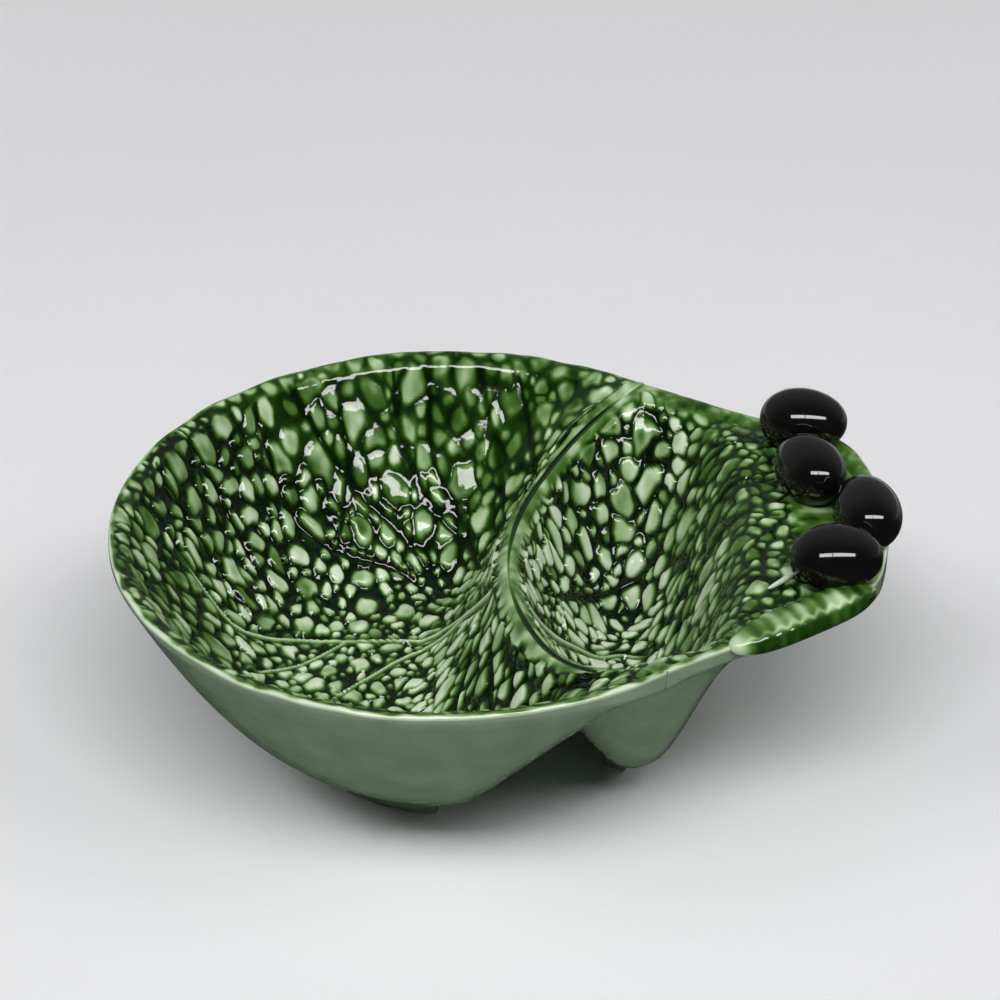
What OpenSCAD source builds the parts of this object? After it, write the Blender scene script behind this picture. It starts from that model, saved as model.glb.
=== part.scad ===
// Leaf-shaped olive dish in glazed earthenware: a large bowl for the olives, a small bowl for the
// stones, and a leaf tip that carries four olives and a curled edge. Millimetres, +Z up. The dish
// stands at Z = 0 and the origin is the middle of its box, seen from above. +X points to the tip.

/* [Rim] */
// Outer radius of the round part of the rim
rim_r = 75.5; // [70:0.5:85]
// Height of the rim above the table
rim_h = 57; // [50:0.5:66]
// Thickness of the wall at the rim
wall_t = 4; // [3:0.1:5]
// Height of the upright edge below the rim
band_h = 2; // [1.5:0.1:4]
// Bevel along the outer edge of the rim
rim_bevel = 1.2; // [0.4:0.1:2]

/* [Bowls] */
// Thickness of the bowls' floors
floor_t = 5; // [4:0.1:8]
// Radius of the round side of the large bowl's flat underside
large_floor_r = 37.5; // [37:0.5:44]
// Width of the small bowl's front and back walls, seen from above
small_wall_w = 31; // [26:0.5:34]
// Rise of a bowl's outer wall: 1 is a straight cone, more is a fuller bowl
wall_curve = 1.7; // [1.3:0.05:2.4]

/* [Divider] */
// Radius of the divider, seen from above
divider_r = 70; // [64:0.5:76]
// Distance from the centre of the round rim to the middle of the divider
divider_x = 14; // [10:0.5:18]
// How far the divider dips below the rim, from its front end to its middle
divider_dip = 13.5; // [6:0.5:18]
// How far the divider dips below the rim towards its back end
divider_back_dip = 8; // [4:0.5:12]
// Width of the large bowl's wall at the divider, seen from above, in the middle
cleft_w = 20; // [16:0.5:22]
// Width of the large bowl's wall at the divider where the tunnel below it opens out
cleft_mouth_w = 31; // [24:0.5:36]
// Width of the small bowl's wall at the divider, seen from above
small_cleft_w = 19; // [15:0.5:22]
// Rise of the walls beside the divider
divider_curve = 1.6; // [1.2:0.1:2.4]
// Height of the face along which the two bowls are joined
lute_h = 5; // [4:0.1:7]
// Slip joint between the two bowls along the divider
seam_gap = 0.3; // [0.2:0.05:0.5]

/* [Leaf relief] */
// Depth of the channels between the puckers
channel_depth = 1.6; // [0.6:0.1:1.8]
// Radius of a large pucker, seen from above
pucker_r = 3.1; // [2.8:0.1:4]
// How many times longer than wide the puckers are at the foot of the divider
fan_stretch = 2.2; // [1.2:0.1:2.6]
// Distance from the foot of the divider over which the puckers get rounder
fan_reach = 36; // [24:1:44]
// Depth of the grooves that the veins lie in
vein_depth = 0.6; // [0.3:0.1:0.9]
// Width of the grooves that the veins lie in
vein_w = 4; // [3:0.1:6]
// Width of the smooth band beside the divider in which the relief fades
crest_w = 7; // [5:0.5:10]
// Length of the slope below the tip's shelf in which the relief fades
shelf_fade = 8; // [6:0.5:12]

/* [Leaf tip] */
// Distance from the centre of the round rim to where the tip's end edges would meet
tip_reach = 103; // [100:0.5:115]
// Distance from the centre of the round rim to the tip's two corners
tip_corner_x = 94; // [91:0.5:98]
// Distance of the back corner from the dish's axis
tip_back = 35; // [33:0.5:44]
// Distance of the front corner from the dish's axis
tip_front = 27; // [26:0.5:36]
// Length along each edge that the rounding of a corner takes
tip_round = 7; // [5:0.5:12]
// How far the tip's shelf lies below the rim
tip_drop = 1; // [0:0.5:5]
// Distance from the centre of the round rim to where the small bowl's floor starts to rise to the tip
slope_x = 46.5; // [45:0.5:50]
// Distance from the centre of the round rim to where the shelf begins
shelf_x = 73; // [68:0.5:75]

/* [Curled edge] */
// Radius of the curl at its end near the divider
curl_r0 = 4.6; // [3:0.1:5]
// Radius of the curl at its end near the tip's corner
curl_r1 = 4.4; // [3:0.1:5]
// Distance along the tip's front edge from its joint with the rim to the curl
curl_start = 20.5; // [16:0.5:24]
// Length of the curl between the centres of its round ends
curl_l = 30; // [22:0.5:31]
// How far the curl's axis lies below the edge that it is joined to
curl_sink = 0.4; // [0.2:0.1:2]
// Slip joint between the curl and the leaf's edge
curl_gap = 0.2; // [0.1:0.05:0.4]

/* [Feet] */
// Height of the feet
foot_h = 7; // [5:0.5:10]
// Thickness of a foot's wall where it stands
foot_t = 4.5; // [3.5:0.1:5]
// Draft of a foot's sides, from the table up
foot_draft = 0.8; // [0:0.1:1]
// Outer radius of the large bowl's foot where it stands
large_foot_r = 36; // [28:0.5:36]
// Angle that the large bowl's foot sweeps
large_foot_sweep = 174; // [140:1:180]
// Outer radius of the small bowl's foot where it stands
small_foot_r = 41.5; // [38:0.5:41.5]
// Distance from the centre of the round rim to the centre of the small bowl's foot
small_foot_x = 4.5; // [3:0.5:4.5]
// Angle that the small bowl's foot sweeps
small_foot_sweep = 60; // [40:1:60]

/* [Olives] */
// Length of an olive
olive_l = 20.4; // [18:0.1:22]
// Diameter of an olive
olive_d = 15.2; // [14:0.1:16]
// Depth of the flat that an olive is bedded on
olive_seat = 2.2; // [1.2:0.1:3]
// Distance of the back olive from the centre of the round rim, along the dish
back_olive_x = 83; // [81.5:0.5:84]
// Distance of the back olive from the dish's axis
back_olive_y = 34; // [33:0.5:35]
// Distance of the inner olive from the centre of the round rim, along the dish
inner_olive_x = 82.5; // [81:0.5:83]
// Distance of the inner olive from the dish's axis
inner_olive_y = 12.5; // [12:0.5:13.5]
// Distance of the end olive from the centre of the round rim, along the dish
end_olive_x = 93.5; // [93:0.5:95]
// Distance of the end olive from the dish's axis
end_olive_y = -5.5; // [-6.5:0.5:-5]
// Distance of the front olive from the centre of the round rim, along the dish
front_olive_x = 85; // [83:0.5:86]
// Distance of the front olive from the dish's axis
front_olive_y = -24; // [-24.5:0.5:-23.5]

/* [Hidden] */

// Points along the round rim, along the tip and along the divider, and rings of the outer walls.
// The points round a bowl come to six for each ring of its leaf.
rim_steps = 136;
tip_steps = 94;
divider_steps = 56;
outer_steps = 7;
corner_steps = 8;
olive_steps = 30;
$fn = 96;

// Turn of each olive about the vertical: 0 lies along the dish, 90 lies across it
back_olive_turn = -8;
inner_olive_turn = 112;
end_olive_turn = 98;
front_olive_turn = 6;

// Length over which the tunnel below the divider opens out to its mouth
mouth_l = 30;
// Least share of a wall's rise that is left to the divider beside it
least_share = 0.02;

// Foot of the divider on each side, where the fan of puckers starts, in hundredths of the rim's radius
large_fan = [20, -5];
small_fan = [18, 8];
// Veins of the two leaves as points that they pass through, in hundredths of the rim's radius
large_veins = [
    [[12, -4], [2, 12], [-4, 19], [-12, 21], [-29, 21], [-44, 20], [-57, 13], [-66, 9], [-77, 13], [-86, 17]],
    [[5, 8], [-7, 15], [-15, 11], [-23, 3], [-31, -5], [-41, -16]],
    [[-33, 20], [-41, 12], [-51, 3], [-60, -7]],
    [[10, -3], [6, -16], [1, -28], [-4, -58], [-8, -87]],
    [[13, -17], [12, -30], [12, -60], [10, -90]],
    [[-2, 19], [-23, -19], [-41, -45], [-52, -61]],
    [[10, 11], [0, 42], [-13, 60], [-27, 67], [-40, 73], [-51, 79]],
    [[8, 13], [-4, 41], [-17, 53], [-40, 53], [-51, 56], [-62, 69]],
    [[12, 16], [9, 42], [4, 64], [-6, 79], [-7, 94]],
    [[4, 61], [-7, 70], [-16, 81], [-19, 93]],
    [[17, 29], [16, 72], [13, 83], [9, 94]],
    [[26, 40], [26, 74], [22, 90]],
    [[-36, 53], [-33, 72], [-36, 82]],
    [[-44, 20], [-60, 34], [-73, 45], [-84, 50]],
    [[-57, 13], [-70, 24], [-89, 32]]];
small_veins = [
    [[24, -3], [29, 5], [36, 10], [43, 12], [51, 13], [59, 9], [67, 0], [75, -11]],
    [[36, 11], [46, -5], [54, -24], [62, -40]],
    [[30, 11], [43, 29], [57, 40], [75, 44], [96, 45]],
    [[43, 12], [59, 21], [78, 24], [99, 23]],
    [[54, 12], [67, 11], [83, 7], [99, 3]],
    [[30, 26], [43, 45], [57, 58], [67, 72]]];
// Pieces of a vein between two of its points
vein_steps = 6;
// How much smaller the puckers are at the foot of the divider, and how much larger on the back wall
fan_shrink = 0.4;
back_swell = 0.3;
// Places along the rim's radius between which the back wall's larger puckers set in
back_from = 0.5;
back_to = 0.8;
// Shares by which the puckers' sizes and heights vary
pucker_vary = 0.25;
height_vary = 0.3;
// A pucker's top ends, and its side reaches the channel, at these shares of its radius
pucker_top = 0.4;
pucker_foot = 1.2;
// Throws of a pucker onto each leaf, most of which fall on one that lies there already
throws = 1300;
large_seed = 71993;
small_seed = 52711;
// The draws that place the puckers: each is the one before times the step, within the range
draw_step = 16807;
draw_range = 2147483647;
// Width of the squares that the leaf is divided into to find what lies near a point
square_w = 8;
// Distance over which the slope of a wall is measured
slope_step = 0.2;

floor_z = foot_h + floor_t;
shelf_z = rim_h - tip_drop;
divider_cx = divider_x + divider_r;

// Outlines, seen from above, with the centre of the round rim at [0, 0]

function polar(c, r, a) = [c + r * cos(a), r * sin(a)];
function arc(c, r, a0, a1, n) = [for (i = [0:n]) polar(c, r, a0 + (a1 - a0) * i / n)];
function inner_points(p) = [for (i = [1:len(p) - 2]) p[i]];
function unit(v) = v / norm(v);
function mix(a, b, t) = a + (b - a) * t;
function clamp01(t) = max(0, min(1, t));
function smooth(t) = let (v = clamp01(t)) v * v * (3 - 2 * v);

// Where the round rim meets a circle of radius r about the divider's centre, on the back side
function joint(r) =
    let (x = (divider_cx * divider_cx + rim_r * rim_r - r * r) / (2 * divider_cx))
    [x, sqrt(rim_r * rim_r - x * x)];
function angle_from(c, p) = atan2(p.y, p.x - c);

// One corner of a path, rounded by a parabola that starts and ends the length r from the corner
function rounded(a, v, b, r) =
    let (p = v + unit(a - v) * r, q = v + unit(b - v) * r)
    [for (i = [0:corner_steps]) let (t = i / corner_steps) mix(mix(p, v, t), mix(v, q, t), t)];

// The same path with its points evenly spaced
function lengths(p) =
    [for (i = 0, s = 0; i < len(p); s = i + 1 < len(p) ? s + norm(p[i + 1] - p[i]) : s, i = i + 1) s];
function evenly(p, n) =
    let (s = lengths(p), total = s[len(s) - 1],
         xs = [for (i = [0:len(p) - 1]) [s[i], p[i].x]],
         ys = [for (i = [0:len(p) - 1]) [s[i], p[i].y]])
    [for (k = [0:n]) [lookup(total * k / n, xs), lookup(total * k / n, ys)]];

large_side_r = divider_r + seam_gap / 2;
small_side_r = divider_r - seam_gap / 2;
large_joint = joint(large_side_r);
tip_joint = joint(small_side_r);
large_joint_a = angle_from(0, large_joint);
large_divider_a = angle_from(divider_cx, large_joint);
small_divider_a = angle_from(divider_cx, tip_joint);

// The tip's edge from the front end of the divider, round the tip, to the divider's back end
tip_front_joint = [tip_joint.x, -tip_joint.y];
tip_end = [tip_reach, (tip_back - tip_front) / 2];
tip_front_corner = [tip_corner_x, -tip_front];
tip_back_corner = [tip_corner_x, tip_back];
tip_bow = min(norm(tip_end - tip_front_corner), norm(tip_end - tip_back_corner)) - tip_round;
tip_edge = evenly(concat(
    [tip_front_joint],
    rounded(tip_front_joint, tip_front_corner, tip_end, tip_round),
    rounded(tip_front_corner, tip_end, tip_back_corner, tip_bow),
    rounded(tip_end, tip_back_corner, tip_joint, tip_round),
    [tip_joint]), tip_steps);

large_rim = concat(arc(0, rim_r, large_joint_a, 360 - large_joint_a, rim_steps),
    inner_points(arc(divider_cx, large_side_r, 360 - large_divider_a, large_divider_a, divider_steps)));
small_rim = concat(tip_edge,
    inner_points(arc(divider_cx, small_side_r, small_divider_a, 360 - small_divider_a, divider_steps)));

// Rise of the walls over a point of the floor: 0 is the floor's height and 1 is the rim's

// Share of the rise at the distance d from an edge whose wall is w wide
function wall_share(d, w, curve) = pow(clamp01(1 - d / w), curve);
// Walls run into one another without a crease and never rise above the rim
function joined(a, b) = 1 - (1 - a) * (1 - b);

// Share of the divider's length from its front end
function along_divider(p) =
    let (a = (angle_from(divider_cx, p) + 360) % 360, b = large_divider_a)
    clamp01((360 - b - a) / (360 - 2 * b));
function dip_at(p) = mix(divider_dip, divider_back_dip, smooth(2 * along_divider(p) - 1));
function from_divider(p) = norm(p - [divider_cx, 0]) - divider_r;
function cleft_at(p) = mix(cleft_w, cleft_mouth_w, smooth((abs(p.y) - large_floor_r + foot_t) / mouth_l));

// Distance of a point from the straight line through a and b, positive inside the tip
function inside_line(p, a, b) = let (n = unit(b - a)) (p.y - a.y) * n.x - (p.x - a.x) * n.y;

function large_walls(p, inset) =
    wall_share(rim_r - inset - norm(p), rim_r - large_floor_r, wall_curve);
function large_divider(p, inset) =
    wall_share(from_divider(p) - inset, cleft_at(p), divider_curve);

function small_walls(p, inset) =
    let (front = inside_line(p, tip_front_joint, tip_front_corner) - inset,
         back = inside_line(p, tip_back_corner, tip_joint) - inset)
    joined(wall_share(front, small_wall_w, wall_curve), wall_share(back, small_wall_w, wall_curve));
function tip_rise(p, inset) = smooth((p.x - slope_x + inset) / (shelf_x - slope_x));
function small_divider(p, inset) =
    wall_share(-from_divider(p) - inset, small_cleft_w, divider_curve);

function tip_fall(p) = tip_drop * smooth((p.x - tip_joint.x) / (shelf_x - tip_joint.x));

// Height over a point: the floor z0, the height h of the rim's walls above it, the share of the walls
// and of the divider, and how much more the underside lies below the joint and the tip
function height(p, z0, h, walls, divider, dip, more) =
    z0 + (h - tip_fall(p)) * joined(walls, divider * (1 - dip / h)) - more * divider;
// The small bowl's dip follows the large bowl's crest, so that their rims meet along the divider
function small_dip(p, inset) =
    let (large = large_walls(p, inset), small = joined(small_walls(p, inset), tip_rise(p, inset)))
    min(1, (1 - large) / max(1 - small, least_share)) * dip_at(p);

// Height of the rims, and of the upper and lower surfaces
function large_edge(p) = height(p, floor_z, rim_h - floor_z, large_walls(p, 0), 1, dip_at(p), 0);
function small_edge(p) =
    height(p, floor_z, rim_h - floor_z, joined(small_walls(p, 0), tip_rise(p, 0)), 1, small_dip(p, 0), 0);
function large_in(p) =
    height(p, floor_z, rim_h - floor_z, large_walls(p, wall_t), large_divider(p, wall_t), dip_at(p), 0);
function large_out(p) =
    height(p, foot_h, rim_h - band_h - foot_h, large_walls(p, 0), large_divider(p, 0), dip_at(p),
           lute_h - band_h);
function small_in(p) =
    height(p, floor_z, rim_h - floor_z, joined(small_walls(p, wall_t), tip_rise(p, wall_t)),
           small_divider(p, wall_t), small_dip(p, wall_t), 0);
function small_out(p) =
    height(p, foot_h, rim_h - band_h - foot_h, joined(small_walls(p, 0), tip_rise(p, 0)),
           small_divider(p, 0), small_dip(p, 0), lute_h - band_h) - (lute_h - band_h) * tip_rise(p, 0);

// Middle of each floor, on the dish's axis
large_centre = [(divider_x - cleft_w - large_floor_r) / 2, 0];
small_centre = [(divider_x + small_cleft_w + slope_x) / 2, 0];

// The pressed leaf: puckers with channels between them, and veins that lie in grooves

function on_leaf(p) = p * rim_r / 100;
function near_fan(p, fan) = 1 - smooth(norm(p - fan) / fan_reach);
function back_wall(p) = p.x < tip_joint.x ? smooth((p.y / rim_r - back_from) / (back_to - back_from)) : 0;
function pucker_size(p, fan) =
    pucker_r * (1 - fan_shrink * near_fan(p, fan)) * (1 + back_swell * back_wall(p));

// Distance of a point from the middle of a pucker, which is longer along the fan than across it
function pucker_distance(p, q, fan) =
    let (d = p - q, along = unit(q - fan), stretch = mix(1, fan_stretch, near_fan(q, fan)))
    norm([d * along / stretch, cross(d, along) * sqrt(stretch)]);

// Puckers thrown onto a leaf, four draws each, and kept where they clear those that lie there already.
// Each has its middle, radius and height.
function draws(seed, n) =
    [for (k = 0, s = seed; k < n; s = (s * draw_step) % draw_range, k = k + 1) s / draw_range];
function thrown(seed, fan, low, high) =
    let (u = draws(seed, 4 * throws))
    [for (k = [0:throws - 1])
        let (p = [mix(low.x, high.x, u[4 * k]), mix(low.y, high.y, u[4 * k + 1])],
             size = pucker_size(p, fan) * (1 + pucker_vary * (2 * u[4 * k + 2] - 1)))
        [p, size, 1 - height_vary * u[4 * k + 3]]];
function clears(c, kept, fan) =
    len([for (q = kept) if (pucker_distance(q[0], c[0], fan) < c[1] + q[1]) q]) == 0;
function strewn(c, fan, kept = [], k = 0) =
    k == len(c) ? kept : strewn(c, fan, clears(c[k], kept, fan) ? concat(kept, [c[k]]) : kept, k + 1);

// A smooth line through points, as middles with the radius of the groove
function curve_at(a, b, c, d, t) =
    (2 * b + (c - a) * t + (2 * a - 5 * b + 4 * c - d) * t * t + (3 * b - a - 3 * c + d) * t * t * t) / 2;
function vein(p) =
    let (n = len(p) - 1)
    [for (i = [0:n - 1], k = [0:vein_steps - 1])
        let (a = i > 0 ? p[i - 1] : 2 * p[0] - p[1], d = i < n - 1 ? p[i + 2] : 2 * p[n] - p[n - 1])
        [on_leaf(curve_at(a, p[i], p[i + 1], d, k / vein_steps)), vein_w / 2]];

// What lies within reach of each square of the plan, by columns and rows from a corner
function by_squares(marks, low, high, reach) =
    [for (x = [low.x:square_w:high.x]) [for (y = [low.y:square_w:high.y])
        [for (m = marks)
            let (d = m[0] - [x, y] - [square_w, square_w] / 2)
            if (max(abs(d.x), abs(d.y)) < square_w / 2 + reach) m]]];
function near_marks(p, squares, low) =
    squares[floor((p.x - low.x) / square_w)][floor((p.y - low.y) / square_w)];

// A leaf: the corner of its plan, its fan, its puckers and its veins
function leaf(rim, fan, veins, seed) =
    let (low = [for (i = [0:1]) min([for (p = rim) p[i]])],
         high = [for (i = [0:1]) max([for (p = rim) p[i]])],
         reach = pucker_r * (1 + back_swell) * (1 + pucker_vary) * pucker_foot * fan_stretch,
         puckers = strewn(thrown(seed, fan, low, high), fan))
    [low, fan, by_squares(puckers, low, high, reach),
     by_squares([for (v = veins) each vein(v)], low, high, vein_w / 2)];

// How far the leaf is pressed in at a point
function pucker_rise(t) = smooth((pucker_foot - t) / (pucker_foot - pucker_top));
function pressed(p, leaf) =
    let (puckers = near_marks(p, leaf[2], leaf[0]), veins = near_marks(p, leaf[3], leaf[0]),
         crown = max([0, for (q = puckers) q[2] * pucker_rise(pucker_distance(p, q[0], leaf[1]) / q[1])]),
         groove = max([0, for (v = veins) 1 - smooth(norm(p - v[0]) / v[1])]),
         off_crest = smooth((abs(from_divider(p)) - wall_t / 2) / crest_w),
         fade = off_crest * smooth((shelf_x - p.x) / shelf_fade))
    fade * (channel_depth * (1 - crown * (1 - groove)) + vein_depth * groove);

// A bowl's shell: the leaf from the middle of its floor up to the rim, the rim, and the outer wall down
// to the middle of its underside. The leaf's rings gain six points each, so that its facets stay alike.
// The outer wall is plain, so it has half as many points as the rim.

function towards(pts, centre, t) = [for (p = pts) p + unit(centre - p) * t];
function shrunk(pts, centre, s) = [for (p = pts) mix(centre, p, s)];
function halved(pts) = [for (i = [0:2:len(pts) - 1]) pts[i]];
function round_at(pts, turn) =
    let (s = turn * len(pts), i = floor(s))
    mix(pts[i % len(pts)], pts[(i + 1) % len(pts)], s - i);
function ring(pts, count) = [for (i = [0:count - 1]) round_at(pts, i / count)];

function upper_z(p, large) = large ? large_in(p) : small_in(p);
function slope_of(p, step, large) = (upper_z(p + step, large) - upper_z(p - step, large)) / (2 * norm(step));
function upper(pts, leaf, large) =
    [for (p = pts)
        let (out = unit([-slope_of(p, [slope_step, 0], large), -slope_of(p, [0, slope_step], large), 1]))
        [p.x, p.y, upper_z(p, large)] - out * pressed(p, leaf)];
function lower(pts, large) = [for (p = pts) [p.x, p.y, large ? large_out(p) : small_out(p)]];

// First point of a leaf's ring, and the facets between the rings
function ring_start(k) = k == 0 ? 0 : 1 + 3 * k * (k - 1);
function ring_point(k, i) = ring_start(k) + (k == 0 ? 0 : i % (6 * k));
function leaf_faces(m) =
    [for (k = [1:m], s = [0:5], j = [0:k - 1])
        let (a = ring_point(k, s * k + j), b = ring_point(k, s * k + j + 1),
             c = ring_point(k - 1, s * (k - 1) + j), d = ring_point(k - 1, s * (k - 1) + j + 1))
        each concat([[a, c, b]], j < k - 1 ? [[c, d, b]] : [])];
function band_faces(first, n) =
    [for (i = [0:n - 1])
        let (a = first + i, b = first + (i + 1) % n)
        each [[a, b, b + n], [a, b + n, a + n]]];
function halving_faces(first, n) =
    [for (i = [0:n / 2 - 1])
        let (a = first + 2 * i, b = a + 1, c = first + (2 * i + 2) % n, d = first + n + i,
             e = first + n + (i + 1) % (n / 2))
        each [[a, b, d], [b, e, d], [b, c, e]]];
function cap_faces(first, n, apex) = [for (i = [0:n - 1]) [first + i, first + (i + 1) % n, apex]];

// flat is the share of the way out from the middle at which the underside starts to rise
module shell(rim, centre, flat, leaf, large) {
    n = len(rim);
    m = n / 6;
    inner = towards(rim, centre, wall_t);
    top = towards(rim, centre, rim_bevel);
    edge = [for (p = rim) large ? large_edge(p) : small_edge(p)];
    half = halved(rim);
    leaf_points = [for (k = [0:m])
        each upper(ring(shrunk(inner, centre, k / m), max(1, 6 * k)), leaf, large)];
    rim_points = concat([for (i = [0:n - 1]) [top[i].x, top[i].y, edge[i]]],
                        [for (i = [0:n - 1]) [rim[i].x, rim[i].y, edge[i] - rim_bevel]], lower(rim, large));
    outer_points = [for (k = [outer_steps - 1:-1:0])
        each lower(shrunk(half, centre, mix(flat, 1, k / outer_steps)), large)];
    band = ring_start(m);
    outer = band + 4 * n;
    last = outer + (outer_steps - 1) * n / 2;
    polyhedron(
        points = concat(leaf_points, rim_points, outer_points, [[centre.x, centre.y, foot_h]]),
        faces = concat(leaf_faces(m), [for (k = [0:2]) each band_faces(band + k * n, n)],
                       halving_faces(band + 3 * n, n),
                       [for (k = [0:outer_steps - 2]) each band_faces(outer + k * n / 2, n / 2)],
                       cap_faces(last, n / 2, last + n / 2)),
        convexity = 6);
}

// The dish's length runs from the round rim to the end olive or the tip, whichever reaches further
function olive_reach(x, turn) =
    x + norm([olive_l / 2 * cos(turn), olive_d / 2 * sin(turn)]);
dish_end = max(olive_reach(end_olive_x, end_olive_turn), max([for (p = tip_edge) p.x]));
dish_middle = [(dish_end - rim_r) / 2, 0, 0];

module centred() { translate(-dish_middle) children(); }

// The pieces

module large_bowl() {
    flat = (large_floor_r + large_centre.x) / (rim_r + large_centre.x);
    large_leaf = leaf(large_rim, on_leaf(large_fan), large_veins, large_seed);
    color("#53702F") centred() shell(large_rim, large_centre, flat, large_leaf, true);
}

module small_bowl() {
    flat = (slope_x - small_centre.x) / (tip_reach - small_centre.x);
    small_leaf = leaf(small_rim, on_leaf(small_fan), small_veins, small_seed);
    color("#5A7A38") centred() shell(small_rim, small_centre, flat, small_leaf, false);
}

// The leaf's front edge rolled over: a tapering half round, flat against the edge of the tip
module curled_edge() {
    along = unit(tip_front_corner - tip_front_joint);
    out = [along.y, -along.x];
    start = tip_front_joint + along * curl_start + out * curl_gap;
    edge_z0 = rim_h - tip_fall(start);
    tilt = atan2(shelf_z - edge_z0, curl_l);
    behind = 4 * curl_r1;
    color("#6B8A48") centred()
        translate([start.x, start.y, edge_z0 - curl_sink])
        rotate([0, 0, atan2(along.y, along.x)])
        difference() {
            rotate([0, 90 - tilt, 0]) union() {
                sphere(r = curl_r0);
                cylinder(r1 = curl_r0, r2 = curl_r1, h = curl_l);
                translate([0, 0, curl_l]) sphere(r = curl_r1);
            }
            translate([-behind, 0, -behind]) cube([curl_l + 2 * behind, behind, 2 * behind]);
        }
}

// A foot: part of a ring, a little thinner where it stands
module foot(x, r, sweep, middle) {
    centred() translate([x, 0, 0]) rotate([0, 0, middle - sweep / 2])
        rotate_extrude(angle = sweep)
        polygon([[r - foot_t, 0], [r, 0], [r + foot_draft, foot_h], [r - foot_t - foot_draft, foot_h]]);
}

module large_foot() { color("#62715E") foot(0, large_foot_r, large_foot_sweep, 180); }
module small_foot() { color("#62715E") foot(small_foot_x, small_foot_r, small_foot_sweep, 0); }

// An olive on its side, blunt at both ends, bedded on a flat
module olive(x, y, turn) {
    bulge = 0.92;
    profile = [for (i = [0:olive_steps]) let (a = 180 * i / olive_steps)
        [olive_d / 2 * pow(sin(a), bulge), -olive_l / 2 * cos(a)]];
    side = 2 * olive_l;
    color("#17171A") centred()
        translate([x, y, shelf_z])
        intersection() {
            translate([0, 0, olive_d / 2 - olive_seat])
                rotate([0, 90, turn]) rotate_extrude() polygon(profile);
            translate([-side / 2, -side / 2, 0]) cube(side);
        }
}

module back_olive() { olive(back_olive_x, back_olive_y, back_olive_turn); }
module inner_olive() { olive(inner_olive_x, inner_olive_y, inner_olive_turn); }
module end_olive() { olive(end_olive_x, end_olive_y, end_olive_turn); }
module front_olive() { olive(front_olive_x, front_olive_y, front_olive_turn); }

large_bowl();
small_bowl();
curled_edge();
large_foot();
small_foot();
back_olive();
inner_olive();
end_olive();
front_olive();
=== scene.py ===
"""Leaf-shaped olive dish in glazed earthenware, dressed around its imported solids.

Lengths are millimetres until a mesh is written, with +Z up. The bowls' heights are worked out in the rim
frame, whose origin is the centre of the round rim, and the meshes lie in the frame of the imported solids.
"""

import logging
import math
from collections.abc import Sequence
from dataclasses import dataclass, field
from enum import Enum
from typing import Any

import bpy
import numpy as np
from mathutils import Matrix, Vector


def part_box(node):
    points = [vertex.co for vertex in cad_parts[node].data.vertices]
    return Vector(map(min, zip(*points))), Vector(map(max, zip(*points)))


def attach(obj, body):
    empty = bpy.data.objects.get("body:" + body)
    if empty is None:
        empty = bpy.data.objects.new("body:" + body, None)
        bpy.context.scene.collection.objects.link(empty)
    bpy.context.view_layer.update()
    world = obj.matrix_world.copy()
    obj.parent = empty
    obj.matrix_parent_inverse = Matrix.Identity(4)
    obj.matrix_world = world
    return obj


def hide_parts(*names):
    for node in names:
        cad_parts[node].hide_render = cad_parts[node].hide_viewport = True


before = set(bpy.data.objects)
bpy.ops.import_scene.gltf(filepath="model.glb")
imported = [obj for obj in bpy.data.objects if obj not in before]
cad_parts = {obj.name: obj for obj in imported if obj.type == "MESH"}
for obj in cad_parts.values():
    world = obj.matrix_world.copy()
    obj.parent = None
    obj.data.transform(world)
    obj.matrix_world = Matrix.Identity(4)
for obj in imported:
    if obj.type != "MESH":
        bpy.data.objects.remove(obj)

LOG = logging.getLogger("olive_dish")
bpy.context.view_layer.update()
MM = 0.001
BODY = "root"
CREASE_DEG = 65.0

Array = np.ndarray
Point = tuple[float, float]


def clamp01(t: Array) -> Array:
    """The values held between 0 and 1."""
    return np.clip(t, 0.0, 1.0)


def smooth(t: Array) -> Array:
    """A soft step from 0 to 1 as t goes from 0 to 1."""
    v = clamp01(t)
    return v * v * (3 - 2 * v)


def mix(a: Any, b: Any, t: Any) -> Any:
    """The value between a and b at the share t."""
    return a + (b - a) * t


def joined(a: Array, b: Array) -> Array:
    """Two shares of a rise run into one another without a crease, and never past 1."""
    return 1 - (1 - a) * (1 - b)


def wall_share(distance: Array, width: Array, curve: float) -> Array:
    """Share of a wall's rise at a distance from its edge.

    Args:
        distance: distance from the edge, seen from above.
        width: width of the wall, seen from above.
        curve: 1 is a straight cone, more is a fuller bowl.

    Returns:
        0 on the floor and 1 at the edge.
    """
    return clamp01(1 - distance / width) ** curve


def soft_noise(x: Array, y: Array, size: float, seed: int) -> Array:
    """Smooth seeded noise over the plan.

    Args:
        x: plan coordinates.
        y: plan coordinates.
        size: width of one swell of the noise.
        seed: picks the pattern.

    Returns:
        Values from 0 to 1.
    """
    knots = 128
    lattice = np.random.default_rng(seed).random((knots, knots))
    u, v = x / size + knots / 2, y / size + knots / 2
    i, j = np.floor(u).astype(int), np.floor(v).astype(int)
    s, t = smooth(u - i), smooth(v - j)

    def at(a: Array, b: Array) -> Array:
        """The lattice's values, repeated past its ends."""
        return lattice[a % knots, b % knots]

    low = mix(at(i, j), at(i + 1, j), s)
    high = mix(at(i, j + 1), at(i + 1, j + 1), s)
    return mix(low, high, t)


def draws(seed: int, count: int) -> Array:
    """Even draws between 0 and 1, the same on every run, by the rule that places the solids' puckers.

    Args:
        seed: the number that the rule starts from.
        count: how many draws.

    Returns:
        The draws.
    """
    step, span = 16807, 2147483647
    values = np.empty(count)
    state = seed
    for k in range(count):
        values[k] = state / span
        state = state * step % span
    return values


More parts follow.
